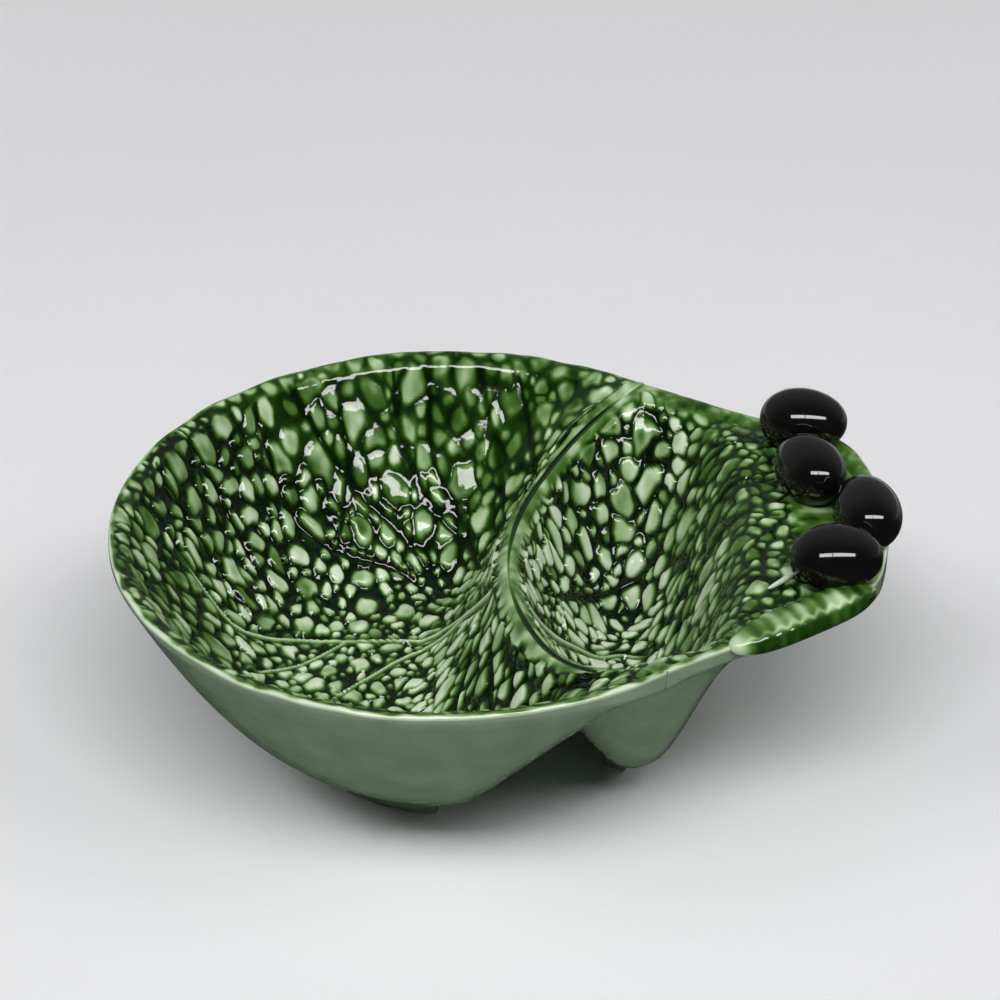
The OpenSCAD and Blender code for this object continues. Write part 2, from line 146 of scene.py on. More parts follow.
def curve_through(points: Sequence[Point], steps: int = 8) -> Array:
    """A smooth line through a few points.

    Args:
        points: the points that the line goes through.
        steps: pieces between one point and the next.

    Returns:
        The line's points, one per row.
    """
    p = np.array(points, float)
    p = np.vstack([2 * p[0] - p[1], p, 2 * p[-1] - p[-2]])
    t = np.linspace(0, 1, steps, endpoint=False)[:, None]
    rows = []
    for a, b, c, d in zip(p[:-3], p[1:-2], p[2:-1], p[3:]):
        rows.append(0.5 * (2 * b + (c - a) * t + (2 * a - 5 * b + 4 * c - d) * t**2
                           + (3 * b - a - 3 * c + d) * t**3))
    return np.vstack([*rows, p[-2:-1]])


def distance_to_line(x: Array, y: Array, line: Array, reach: float) -> tuple[Array, Array]:
    """Distance of plan points from a line of points.

    Args:
        x: plan coordinates.
        y: plan coordinates.
        line: the line's points, one per row.
        reach: distance past which the answer doesn't matter.

    Returns:
        The distance, at most reach, and the share of the line's length at the nearest place.
    """
    best = np.full(x.shape, reach)
    share = np.zeros(x.shape)
    low, high = line.min(0) - reach, line.max(0) + reach
    near = np.nonzero((x > low[0]) & (x < high[0]) & (y > low[1]) & (y < high[1]))[0]
    px, py = x[near], y[near]
    d, s = best[near], share[near]
    for k in range(len(line) - 1):
        a, step = line[k], line[k + 1] - line[k]
        t = clamp01(((px - a[0]) * step[0] + (py - a[1]) * step[1]) / max(step @ step, 1e-9))
        dist = np.hypot(px - a[0] - t * step[0], py - a[1] - t * step[1])
        closer = dist < d
        d = np.where(closer, dist, d)
        s = np.where(closer, (k + t) / (len(line) - 1), s)
    best[near], share[near] = d, s
    return best, share


class Side(Enum):
    """The two bowls, by the names of their nodes."""

    LARGE = "large_bowl"
    SMALL = "small_bowl"


@dataclass(frozen=True)
class DishForm:
    """The smooth form that the two bowls are lofted on, in the rim frame."""

    rim_r: float = 75.5
    rim_h: float = 57.0
    wall_t: float = 4.0
    crest_t: float = 2.8
    band_h: float = 2.0
    rim_bevel: float = 1.2
    floor_t: float = 5.0
    large_floor_r: float = 37.5
    small_wall_w: float = 31.0
    wall_curve: float = 1.7
    divider_r: float = 70.0
    divider_x: float = 14.0
    divider_dip: float = 13.5
    divider_back_dip: float = 8.0
    cleft_w: float = 20.0
    cleft_mouth_w: float = 31.0
    mouth_l: float = 30.0
    small_cleft_w: float = 19.0
    divider_curve: float = 1.6
    lute_h: float = 5.0
    tip_reach: float = 103.0
    tip_corner_x: float = 94.0
    tip_back: float = 35.0
    tip_front: float = 27.0
    tip_round: float = 7.0
    tip_drop: float = 1.0
    slope_x: float = 46.5
    shelf_x: float = 73.0
    foot_h: float = 7.0
    foot_t: float = 4.5
    least_share: float = 0.02

    @property
    def floor_z(self) -> float:
        """Height of the bowls' floors."""
        return self.foot_h + self.floor_t

    @property
    def shelf_z(self) -> float:
        """Height of the tip's shelf."""
        return self.rim_h - self.tip_drop

    @property
    def divider_cx(self) -> float:
        """Centre of the divider's arc."""
        return self.divider_x + self.divider_r

    @property
    def middle(self) -> float:
        """Distance from the rim frame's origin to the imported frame's, along the dish."""
        return -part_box(Side.LARGE.value)[0][0] / MM - self.rim_r

    def joint(self, r: float) -> Array:
        """Where the round rim meets a circle of radius r about the divider's centre, on the back side."""
        x = (self.divider_cx**2 + self.rim_r**2 - r * r) / (2 * self.divider_cx)
        return np.array([x, math.sqrt(self.rim_r**2 - x * x)])

    @property
    def tip_joint(self) -> Array:
        """Back end of the divider on the small bowl."""
        return self.joint(self.divider_r)

    @property
    def front_joint(self) -> Array:
        """Front end of the divider on the small bowl."""
        return self.tip_joint * (1, -1)

    @property
    def front_corner(self) -> Array:
        """Front corner of the tip, before its rounding."""
        return np.array([self.tip_corner_x, -self.tip_front])

    @property
    def back_corner(self) -> Array:
        """Back corner of the tip, before its rounding."""
        return np.array([self.tip_corner_x, self.tip_back])

    def from_divider(self, x: Array, y: Array) -> Array:
        """Distance from the divider's line, positive towards the large bowl."""
        return np.hypot(x - self.divider_cx, y) - self.divider_r

    def along_divider(self, x: Array, y: Array) -> Array:
        """Share of the divider's length from its front end.

        Args:
            x: plan coordinates.
            y: plan coordinates.

        Returns:
            The shares, from 0 at the front to 1 at the back.
        """
        end = self.tip_joint
        half = math.degrees(math.atan2(end[1], end[0] - self.divider_cx))
        angle = np.degrees(np.arctan2(y, x - self.divider_cx)) % 360
        return clamp01((360 - half - angle) / (360 - 2 * half))

    def dip(self, x: Array, y: Array) -> Array:
        """How far the divider's crest lies below the rim."""
        return mix(self.divider_dip, self.divider_back_dip, smooth(2 * self.along_divider(x, y) - 1))

    def inside_line(self, x: Array, y: Array, a: Array, b: Array) -> Array:
        """Distance from the straight line through a and b, positive inside the tip."""
        n = (b - a) / np.linalg.norm(b - a)
        return (y - a[1]) * n[0] - (x - a[0]) * n[1]

    def large_walls(self, x: Array, y: Array, inset: float) -> Array:
        """Share of the rise of the large bowl's round wall."""
        width = self.rim_r - self.large_floor_r
        return wall_share(self.rim_r - inset - np.hypot(x, y), width, self.wall_curve)

    def large_divider(self, x: Array, y: Array, inset: float) -> Array:
        """Share of the rise of the large bowl's wall beside the divider.

        Args:
            x: plan coordinates.
            y: plan coordinates.
            inset: distance of the wall's top from the divider's line.

        Returns:
            The shares, from 0 on the floor to 1 at the top.
        """
        opened = smooth((np.abs(y) - self.large_floor_r + self.foot_t) / self.mouth_l)
        width = mix(self.cleft_w, self.cleft_mouth_w, opened)
        return wall_share(self.from_divider(x, y) - inset, width, self.divider_curve)

    def tip_rise(self, x: Array, inset: float) -> Array:
        """Share of the rise of the small bowl's floor towards the tip's shelf."""
        return smooth((x - self.slope_x + inset) / (self.shelf_x - self.slope_x))

    def small_walls(self, x: Array, y: Array, inset: float) -> Array:
        """Share of the rise of the small bowl's front, back and tip walls.

        Args:
            x: plan coordinates.
            y: plan coordinates.
            inset: distance of the walls' tops from the rim's outline.

        Returns:
            The shares, from 0 on the floor to 1 at the top.
        """
        front = self.inside_line(x, y, self.front_joint, self.front_corner) - inset
        back = self.inside_line(x, y, self.back_corner, self.tip_joint) - inset
        sides = joined(wall_share(front, self.small_wall_w, self.wall_curve),
                       wall_share(back, self.small_wall_w, self.wall_curve))
        return joined(sides, self.tip_rise(x, inset))

    def small_divider(self, x: Array, y: Array, inset: float) -> Array:
        """Share of the rise of the small bowl's wall beside the divider."""
        return wall_share(-self.from_divider(x, y) - inset, self.small_cleft_w, self.divider_curve)

    def small_dip(self, x: Array, y: Array, inset: float) -> Array:
        """The small bowl's dip, which follows the large bowl's crest."""
        room = np.maximum(1 - self.small_walls(x, y, inset), self.least_share)
        return np.minimum(1, (1 - self.large_walls(x, y, inset)) / room) * self.dip(x, y)

    def tip_fall(self, x: Array) -> Array:
        """How far the rim falls towards the tip."""
        return self.tip_drop * smooth((x - self.tip_joint[0]) / (self.shelf_x - self.tip_joint[0]))

    def height(self, x: Array, z0: float, rise: float, walls: Array, divider: Array, dip: Array,
               more: float) -> Array:
        """Height of a surface of a bowl.

        Args:
            x: plan coordinates.
            z0: height of the surface's flat middle.
            rise: height of the rim's walls above it.
            walls: share of the walls' rise.
            divider: share of the rise beside the divider.
            dip: how far the divider's crest lies below the rim.
            more: how much more the underside lies below the divider.

        Returns:
            The heights.
        """
        shares = joined(walls, divider * (1 - dip / rise))
        return z0 + (rise - self.tip_fall(x)) * shares - more * divider

    def upper(self, side: Side, x: Array, y: Array) -> Array:
        """Height of a bowl's smooth upper surface.

        Args:
            side: the bowl.
            x: plan coordinates.
            y: plan coordinates.

        Returns:
            The heights.
        """
        t, rise = self.wall_t, self.rim_h - self.floor_z
        if side is Side.LARGE:
            return self.height(x, self.floor_z, rise, self.large_walls(x, y, t),
                               self.large_divider(x, y, self.crest_t), self.dip(x, y), 0)
        return self.height(x, self.floor_z, rise, self.small_walls(x, y, t),
                           self.small_divider(x, y, self.crest_t), self.small_dip(x, y, t), 0)

    def slope(self, side: Side, x: Array, y: Array, step: float) -> Array:
        """Slope of a bowl's smooth upper surface.

        Args:
            side: the bowl.
            x: plan coordinates.
            y: plan coordinates.
            step: how far to each side it is measured.

        Returns:
            The slopes along X and along Y, one place per row.
        """
        along_x = self.upper(side, x + step, y) - self.upper(side, x - step, y)
        along_y = self.upper(side, x, y + step) - self.upper(side, x, y - step)
        return np.column_stack([along_x, along_y]) / (2 * step)

    def edge(self, side: Side, x: Array, y: Array) -> Array:
        """Height of a bowl's rim.

        Args:
            side: the bowl.
            x: plan coordinates.
            y: plan coordinates.

        Returns:
            The heights.
        """
        rise = self.rim_h - self.floor_z
        if side is Side.LARGE:
            return self.height(x, self.floor_z, rise, self.large_walls(x, y, 0), np.ones_like(x),
                               self.dip(x, y), 0)
        return self.height(x, self.floor_z, rise, self.small_walls(x, y, 0), np.ones_like(x),
                           self.small_dip(x, y, 0), 0)

    def lower(self, side: Side, x: Array, y: Array) -> Array:
        """Height of a bowl's outside and underside.

        Args:
            side: the bowl.
            x: plan coordinates.
            y: plan coordinates.

        Returns:
            The heights.
        """
        rise = self.rim_h - self.band_h - self.foot_h
        more = self.lute_h - self.band_h
        if side is Side.LARGE:
            return self.height(x, self.foot_h, rise, self.large_walls(x, y, 0),
                               self.large_divider(x, y, 0), self.dip(x, y), more)
        return self.height(x, self.foot_h, rise, self.small_walls(x, y, 0), self.small_divider(x, y, 0),
                           self.small_dip(x, y, 0), more) - more * self.tip_rise(x, 0)

    def arc(self, cx: float, r: float, a0: float, a1: float, steps: int = 400) -> Array:
        """Points along an arc about a point on the dish's axis, from the angle a0 to a1 in radians."""
        a = np.linspace(a0, a1, steps)
        return np.column_stack([cx + r * np.cos(a), r * np.sin(a)])

    def rounded(self, a: Array, v: Array, b: Array, r: float, steps: int = 40) -> Array:
        """A corner, rounded.

        Args:
            a: the point before the corner.
            v: the corner.
            b: the point after it.
            r: length along each edge that the rounding takes.
            steps: how many points.

        Returns:
            Points along the rounding, one per row.
        """
        p = v + (a - v) / np.linalg.norm(a - v) * r
        q = v + (b - v) / np.linalg.norm(b - v) * r
        t = np.linspace(0, 1, steps)[:, None]
        return mix(mix(p, v, t), mix(v, q, t), t)

    def outline(self, side: Side, count: int) -> Array:
        """A bowl's rim seen from above.

        Args:
            side: the bowl.
            count: points along the closed outline.

        Returns:
            The points, evenly spaced and anticlockwise, one per row.
        """
        r, cx, end = self.divider_r, self.divider_cx, self.tip_joint
        a, b = math.atan2(end[1], end[0]), math.atan2(end[1], end[0] - cx)
        if side is Side.LARGE:
            path = np.vstack([self.arc(0, self.rim_r, a, 2 * math.pi - a),
                              self.arc(cx, r, 2 * math.pi - b, b)])
        else:
            tip = np.array([self.tip_reach, (self.tip_back - self.tip_front) / 2])
            bow = min(np.linalg.norm(tip - self.front_corner), np.linalg.norm(tip - self.back_corner))
            path = np.vstack([
                [self.front_joint],
                self.rounded(self.front_joint, self.front_corner, tip, self.tip_round),
                self.rounded(self.front_corner, tip, self.back_corner, bow - self.tip_round),
                self.rounded(tip, self.back_corner, self.tip_joint, self.tip_round),
                self.arc(cx, r, b, 2 * math.pi - b)])
        path = np.vstack([path, path[:1]])
        length = np.concatenate([[0], np.cumsum(np.hypot(*np.diff(path, axis=0).T))])
        stations = np.linspace(0, length[-1], count, endpoint=False)
        return np.column_stack([np.interp(stations, length, path[:, k]) for k in (0, 1)])


def linear(hex_colour: str) -> tuple[float, float, float, float]:
    """An sRGB hex colour as the linear colour that a shader socket takes.

    Args:
        hex_colour: the colour, as # and six digits.

    Returns:
        Red, green, blue and full alpha.
    """
    values = [int(hex_colour[i:i + 2], 16) / 255 for i in (1, 3, 5)]
    curve = [v / 12.92 if v <= 0.04045 else ((v + 0.055) / 1.055) ** 2.4 for v in values]
    return (*curve, 1.0)


def add_node(tree: bpy.types.NodeTree, kind: str, settings: dict[str, Any] | None = None,
             links: dict[str | int, Any] | None = None) -> bpy.types.Node:
    """Adds a node to a tree.

    Args:
        tree: the node tree.
        kind: the node's type.
        settings: the node's own properties by name, and values of its inputs by "in:" and their name.
        links: output sockets to join to its inputs, by the input's name or number.

    Returns:
        The node.
    """
    node = tree.nodes.new(kind)
    for name, value in (settings or {}).items():
        if name.startswith("in:"):
            node.inputs[name[3:]].default_value = value
        else:
            setattr(node, name, value)
    for name, socket in (links or {}).items():
        tree.links.new(socket, node.inputs[name])
    return node


def new_material(name: str) -> tuple[bpy.types.Material, bpy.types.NodeTree]:
    """An empty node material.

    Args:
        name: the material's name.

    Returns:
        The material and its node tree.
    """
    material = bpy.data.materials.new(name)
    material.use_nodes = True
    material.node_tree.nodes.clear()
    return material, material.node_tree


def set_stops(ramp: bpy.types.Node, stops: Sequence[tuple[float, str]]) -> None:
    """Sets a colour ramp's stops.

    Args:
        ramp: the colour ramp node.
        stops: places from 0 to 1 and their sRGB hex colours.
    """
    elements = ramp.color_ramp.elements
    while len(elements) < len(stops):
        elements.new(0.5)
    for element, (place, colour) in zip(elements, stops):
        element.position = place
        element.color = linear(colour)


# Thin glaze on the plain outside, and where it is a little thicker
OUTSIDE_GREEN = "#80947B"
OUTSIDE_SHADE = "#72866C"


@dataclass(frozen=True)
class LeafGlaze:
    """Clear green glaze over cast white earthenware.

    The glaze runs off the high places, where the pale body shows through, and pools in the low ones, where
    it is nearly black. It is fired to a wet gloss with a faint ripple.
    """

    name: str = "green_pooling_glaze_on_cast_earthenware"
    pool: str = "#051603"
    deep: str = "#1B3D0A"
    body: str = "#4D7330"
    thin: str = "#9FBC8B"
    bare: str = "#D6E4CB"
    # Where the five tones lie between the pools, 0, and the bare body, 1
    tone_places: tuple[float, ...] = (0.14, 0.34, 0.54, 0.75, 0.94)
    roughness: float = 0.07
    ior: float = 1.52
    mottle_mm: float = 9.0
    mottle_share: float = 0.24
    ripple_mm: float = 2.6
    ripple_depth_mm: float = 0.05

    def make(self) -> bpy.types.Material:
        """Makes the material, which reads the surface's own relief and inside attributes.

        Returns:
            The material.
        """
        material, tree = new_material(self.name)
        place = add_node(tree, "ShaderNodeTexCoord").outputs["Object"]
        # The relief attribute holds the glaze's tone, with painted light and shade on the leaf and painted
        # highlights on the roll.
        relief = add_node(tree, "ShaderNodeAttribute", {"attribute_name": "relief"}).outputs["Fac"]
        inside = add_node(tree, "ShaderNodeAttribute", {"attribute_name": "inside"}).outputs["Fac"]
        # Thicker and thinner runs of glaze, about as wide as a finger tip
        mottle = add_node(tree, "ShaderNodeTexNoise",
                          {"in:Scale": 1 / (self.mottle_mm * MM), "in:Detail": 3.0}, {"Vector": place})
        shifted = add_node(tree, "ShaderNodeMath", {"operation": "MULTIPLY_ADD"},
                           {0: mottle.outputs["Fac"], 2: relief})
        shifted.inputs[1].default_value = self.mottle_share
        centred = add_node(tree, "ShaderNodeMath", {"operation": "SUBTRACT"}, {0: shifted.outputs[0]})
        centred.inputs[1].default_value = self.mottle_share / 2
        leaf = add_node(tree, "ShaderNodeValToRGB", links={"Fac": centred.outputs[0]})
        tones = (self.pool, self.deep, self.body, self.thin, self.bare)
        set_stops(leaf, list(zip(self.tone_places, tones)))
        plain = add_node(tree, "ShaderNodeValToRGB", links={"Fac": mottle.outputs["Fac"]})
        set_stops(plain, [(0.3, OUTSIDE_SHADE), (0.7, OUTSIDE_GREEN)])
        colour = add_node(tree, "ShaderNodeMix", {"data_type": "RGBA"}, {"Factor": inside})
        tree.links.new(plain.outputs["Color"], colour.inputs[6])
        tree.links.new(leaf.outputs["Color"], colour.inputs[7])
        ripple = add_node(tree, "ShaderNodeTexNoise",
                          {"in:Scale": 1 / (self.ripple_mm * MM), "in:Detail": 2.0}, {"Vector": place})
        bump = add_node(tree, "ShaderNodeBump",
                        {"in:Strength": 0.6, "in:Distance": self.ripple_depth_mm * MM},
                        {"Height": ripple.outputs["Fac"]})
        shader = add_node(tree, "ShaderNodeBsdfPrincipled",
                          {"in:Roughness": self.roughness, "in:IOR": self.ior},
                          {"Base Color": colour.outputs[2], "Normal": bump.outputs["Normal"]})
        add_node(tree, "ShaderNodeOutputMaterial", links={"Surface": shader.outputs["BSDF"]})
        return material


@dataclass(frozen=True)
class OutsideGlaze:
    """Thin clear glaze, faintly green, over cast white earthenware: plain and softly glossy.

    The glaze is wiped off the face that stands in the kiln, where the bare body is pale and dull.
    """

    name: str = "thin_clear_glaze_on_cast_earthenware"
    bisque: str = "#CFC8B8"
    roughness: float = 0.14
    bisque_roughness: float = 0.85
    ior: float = 1.5
    mottle_mm: float = 9.0
    wiped_mm: float = 0.7

    def make(self) -> bpy.types.Material:
        """Makes the material, with the bare face at the foot of the object.

        Returns:
            The material.
        """
        material, tree = new_material(self.name)
        place = add_node(tree, "ShaderNodeTexCoord").outputs["Object"]
        mottle = add_node(tree, "ShaderNodeTexNoise",
                          {"in:Scale": 1 / (self.mottle_mm * MM), "in:Detail": 3.0}, {"Vector": place})
        plain = add_node(tree, "ShaderNodeValToRGB", links={"Fac": mottle.outputs["Fac"]})
        set_stops(plain, [(0.3, OUTSIDE_SHADE), (0.7, OUTSIDE_GREEN)])
        height = add_node(tree, "ShaderNodeSeparateXYZ", links={0: place}).outputs["Z"]
        wiped, soft_edge = self.wiped_mm * MM, 0.6
        glazed = add_node(tree, "ShaderNodeMapRange",
                          {"in:From Min": soft_edge * wiped, "in:From Max": wiped}, {0: height})
        colour = add_node(tree, "ShaderNodeMix", {"data_type": "RGBA"}, {"Factor": glazed.outputs[0]})
        colour.inputs[6].default_value = linear(self.bisque)
        tree.links.new(plain.outputs["Color"], colour.inputs[7])
        gloss = add_node(tree, "ShaderNodeMapRange",
                         {"in:To Min": self.bisque_roughness, "in:To Max": self.roughness},
                         {0: glazed.outputs[0]})
        shader = add_node(tree, "ShaderNodeBsdfPrincipled",
                          {"in:IOR": self.ior},
                          {"Base Color": colour.outputs[2], "Roughness": gloss.outputs[0]})
        add_node(tree, "ShaderNodeOutputMaterial", links={"Surface": shader.outputs["BSDF"]})
        return material


@dataclass(frozen=True)
class OliveGlaze:
    """Black glaze over hand-rolled earthenware: mirror-like, with a slight unevenness of the clay."""

    name: str = "black_glaze_on_rolled_earthenware"
    colour: str = "#0B0B0C"
    brown: str = "#120F0E"
    roughness: float = 0.07
    ior: float = 1.55
    swell_mm: float = 7.0
    swell_depth_mm: float = 0.06

    def make(self) -> bpy.types.Material:
        """Makes the material, with a slow swell in the gloss.

        Returns:
            The material.
        """
        material, tree = new_material(self.name)
        place = add_node(tree, "ShaderNodeTexCoord").outputs["Object"]
        swell = add_node(tree, "ShaderNodeTexNoise",
                         {"in:Scale": 1 / (self.swell_mm * MM), "in:Detail": 1.0}, {"Vector": place})
        tone = add_node(tree, "ShaderNodeValToRGB", links={"Fac": swell.outputs["Fac"]})
        set_stops(tone, [(0.35, self.colour), (0.7, self.brown)])
        bump = add_node(tree, "ShaderNodeBump",
                        {"in:Strength": 0.5, "in:Distance": self.swell_depth_mm * MM},
                        {"Height": swell.outputs["Fac"]})
        shader = add_node(tree, "ShaderNodeBsdfPrincipled",
                          {"in:Roughness": self.roughness, "in:IOR": self.ior},
                          {"Base Color": tone.outputs["Color"], "Normal": bump.outputs["Normal"]})
        add_node(tree, "ShaderNodeOutputMaterial", links={"Surface": shader.outputs["BSDF"]})
        return material


@dataclass(frozen=True)
class StudioPaper:
    """Matt paper sweep under the dish: pale, even and without gloss, with a painted dark reflection before
    the dish that only glossy rays see.
    """

    name: str = "matt_studio_paper"
    colour: str = "#E6E6E8"
    cloud: str = "#E8E8EA"
    clouds_per_m: float = 6.0
    # Painted dark reflection before the dish, for glossy rays only
    front: str = "#2A2A2C"
    front_ends: float = 0.05
    back_starts: float = 0.4
    roughness: float = 0.95

    def make(self) -> bpy.types.Material:
        """Makes the material, with the faint cloud of a paper roll.

        Returns:
            The material.
        """
        material, tree = new_material(self.name)
        place = add_node(tree, "ShaderNodeTexCoord").outputs["Object"]
        cloud = add_node(tree, "ShaderNodeTexNoise",
                         {"in:Scale": self.clouds_per_m, "in:Detail": 1.0}, {"Vector": place})
        tone = add_node(tree, "ShaderNodeValToRGB", links={"Fac": cloud.outputs["Fac"]})
        set_stops(tone, [(0.3, self.colour), (0.7, self.cloud)])
        # Painted dark reflection: glossy rays see the paper before the dish as dark, in metres along Y
        depth = add_node(tree, "ShaderNodeSeparateXYZ", links={0: place}).outputs["Y"]
        before = add_node(tree, "ShaderNodeMapRange",
                          {"in:From Min": self.back_starts, "in:From Max": self.front_ends}, {0: depth})
        glossy = add_node(tree, "ShaderNodeLightPath").outputs["Is Glossy Ray"]
        dark = add_node(tree, "ShaderNodeMath", {"operation": "MULTIPLY"}, {0: before.outputs[0], 1: glossy})
        colour = add_node(tree, "ShaderNodeMix", {"data_type": "RGBA"}, {"Factor": dark.outputs[0]})
        tree.links.new(tone.outputs["Color"], colour.inputs[6])
        colour.inputs[7].default_value = linear(self.front)
        shader = add_node(tree, "ShaderNodeBsdfPrincipled",
                          {"in:Roughness": self.roughness, "in:Specular IOR Level": 0.0},
                          {"Base Color": colour.outputs[2]})
        add_node(tree, "ShaderNodeOutputMaterial", links={"Surface": shader.outputs["BSDF"]})
        return material


def deselect_all() -> None:
    """Leaves nothing selected, in object mode."""
    if bpy.context.object and bpy.context.object.mode != "OBJECT":
        bpy.ops.object.mode_set(mode="OBJECT")
    bpy.ops.object.select_all(action="DESELECT")


def coordinates(mesh: bpy.types.Mesh) -> Array:
    """The places of a mesh's vertices.

    Args:
        mesh: the mesh.

    Returns:
        Its coordinates, one vertex per row.
    """
    flat = np.empty(len(mesh.vertices) * 3)
    mesh.vertices.foreach_get("co", flat)
    return flat.reshape(-1, 3)


def move_to(mesh: bpy.types.Mesh, points: Array) -> None:
    """Puts a mesh's vertices at points in millimetres."""
    mesh.vertices.foreach_set("co", (points * MM).ravel())
    mesh.update()


def set_attribute(mesh: bpy.types.Mesh, name: str, values: Array) -> None:
    """Writes one value per vertex to a named attribute."""
    attribute = mesh.attributes.get(name) or mesh.attributes.new(name, "FLOAT", "POINT")
    attribute.data.foreach_set("value", np.asarray(values, np.float32))


def new_grid(name: str, across: int, up: int) -> tuple[bpy.types.Object, Array]:
    """A flat grid to be shaped.

    Args:
        name: the object's name.
        across: faces along the first side.
        up: faces along the second side.

    Returns:
        The object, and its vertices' places on the grid, from 0 to 1 each way.
    """
    deselect_all()
    bpy.ops.mesh.primitive_grid_add(x_subdivisions=across, y_subdivisions=up, size=2)
    piece = bpy.context.object
    piece.name = name
    piece.data.name = name
    return piece, coordinates(piece.data)[:, :2] / 2 + 0.5


def take_in(piece: bpy.types.Object, other: bpy.types.Object) -> None:
    """Joins one object's mesh into another's.

    Args:
        piece: the object that is kept.
        other: the object that it takes in.
    """
    deselect_all()
    other.select_set(True)
    piece.select_set(True)
    bpy.context.view_layer.objects.active = piece
    bpy.ops.object.join()


def close_up(piece: bpy.types.Object, within_mm: float = 0.005) -> None:
    """Merges a piece's meeting edges and turns its faces outwards.

    Args:
        piece: the object.
        within_mm: distance under which points are one.
    """
    deselect_all()
    piece.select_set(True)
    bpy.context.view_layer.objects.active = piece
    bpy.ops.object.mode_set(mode="EDIT")
    bpy.ops.mesh.select_all(action="SELECT")
    bpy.ops.mesh.remove_doubles(threshold=within_mm * MM)
    bpy.ops.mesh.dissolve_degenerate(threshold=within_mm * MM)
    bpy.ops.mesh.normals_make_consistent(inside=False)
    bpy.ops.object.mode_set(mode="OBJECT")
    bpy.ops.object.shade_smooth_by_angle(angle=math.radians(CREASE_DEG))


def dress(piece: bpy.types.Object, material: bpy.types.Material, slot: str, *nodes: str) -> None:
    """Finishes a piece.

    Args:
        piece: the object.
        material: its finish.
        slot: the record's material slot; not used.
        nodes: the solids that it stands for.
    """
    piece.data.materials.clear()
    piece.data.materials.append(material)
    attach(piece, BODY)
    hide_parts(*nodes)
    LOG.info("%s: %d faces, stands for %s", piece.name, len(piece.data.polygons), ", ".join(nodes))


class VeinKind(Enum):
    """How a vein of the leaf is pressed into the clay."""

    RIB = "a thin raised rib between two grooves"
    GROOVE = "a broad sunk groove"


@dataclass(frozen=True)
class Vein:
    """One vein of the leaf, as points seen from above in hundredths of the rim's radius."""

    kind: VeinKind
    points: tuple[Point, ...]
    width: float = 1.0


# Ribs and grooves of the large leaf, from the divider's foot outwards
LARGE_VEINS = (
    Vein(VeinKind.RIB, ((12, -4), (2, 12), (-4, 19), (-12, 21), (-29, 21), (-44, 20), (-57, 13), (-66, 9),
                        (-77, 13), (-86, 17)), 1.1),
    Vein(VeinKind.RIB, ((5, 8), (-7, 15), (-15, 11), (-23, 3), (-31, -5), (-41, -16))),
    Vein(VeinKind.RIB, ((-33, 20), (-41, 12), (-51, 3), (-60, -7)), 0.8),
    Vein(VeinKind.GROOVE, ((10, -3), (6, -16), (1, -28), (-4, -58), (-8, -87)), 1.2),
    Vein(VeinKind.GROOVE, ((13, -17), (12, -30), (12, -60), (10, -90)), 1.2),
    Vein(VeinKind.GROOVE, ((-2, 19), (-23, -19), (-41, -45), (-52, -61))),
    Vein(VeinKind.GROOVE, ((10, 11), (0, 42), (-13, 60), (-27, 67), (-40, 73), (-51, 79)), 1.2),
    Vein(VeinKind.GROOVE, ((8, 13), (-4, 41), (-17, 53), (-40, 53), (-51, 56), (-62, 69)), 1.1),
    Vein(VeinKind.GROOVE, ((12, 16), (9, 42), (4, 64), (-6, 79), (-7, 94)), 1.3),
    Vein(VeinKind.GROOVE, ((4, 61), (-7, 70), (-16, 81), (-19, 93)), 1.2),
    Vein(VeinKind.GROOVE, ((17, 29), (16, 72), (13, 83), (9, 94)), 1.3),
    Vein(VeinKind.GROOVE, ((26, 40), (26, 74), (22, 90)), 1.2),
    Vein(VeinKind.GROOVE, ((-36, 53), (-33, 72), (-36, 82))),
    Vein(VeinKind.GROOVE, ((-44, 20), (-60, 34), (-73, 45), (-84, 50))),
    Vein(VeinKind.GROOVE, ((-57, 13), (-70, 24), (-89, 32))),
)

# Ribs and grooves of the small leaf
SMALL_VEINS = (
    Vein(VeinKind.RIB, ((24, -14), (29, -6), (34, 1), (39, 7), (43, 10), (48, 12), (56, 13), (64, 6)), 1.1),
    Vein(VeinKind.GROOVE, ((36, 11), (46, -5), (54, -24), (62, -40)), 0.7),
    Vein(VeinKind.GROOVE, ((30, 11), (43, 29), (57, 40), (75, 44), (96, 45))),
    Vein(VeinKind.GROOVE, ((43, 12), (59, 21), (78, 24), (99, 23))),
    Vein(VeinKind.GROOVE, ((54, 12), (67, 11), (83, 7), (99, 3))),
)


@dataclass(frozen=True)
class Sweep:
    """One sweep of puckers thrown onto a leaf: their radius, how many are thrown and how high they stand.

    They are thrown as wide apart as their radius asks, and drawn at a share of it, so that smaller ones
    fit in.
    """

    radius: float
    throws: int
    lowest: float
    highest: float
    drawn: float = 1.0


@dataclass
class Puckers:
    """The puckers that lie on a leaf."""

    middle: Array
    radius: Array
    height: Array
    along: Array
    stretch: Array


@dataclass(frozen=True)
class Regions:
    """Shares by which places on a leaf belong to the regions that are pressed, glazed and given painted light
    and shade differently.

    The fan lies at the foot of the divider, and the tip wall rises from the small bowl's floor to the shelf.
    """

    fan: Array
    back: Array
    upper_back: Array
    tip_wall: Array
    floor: Array


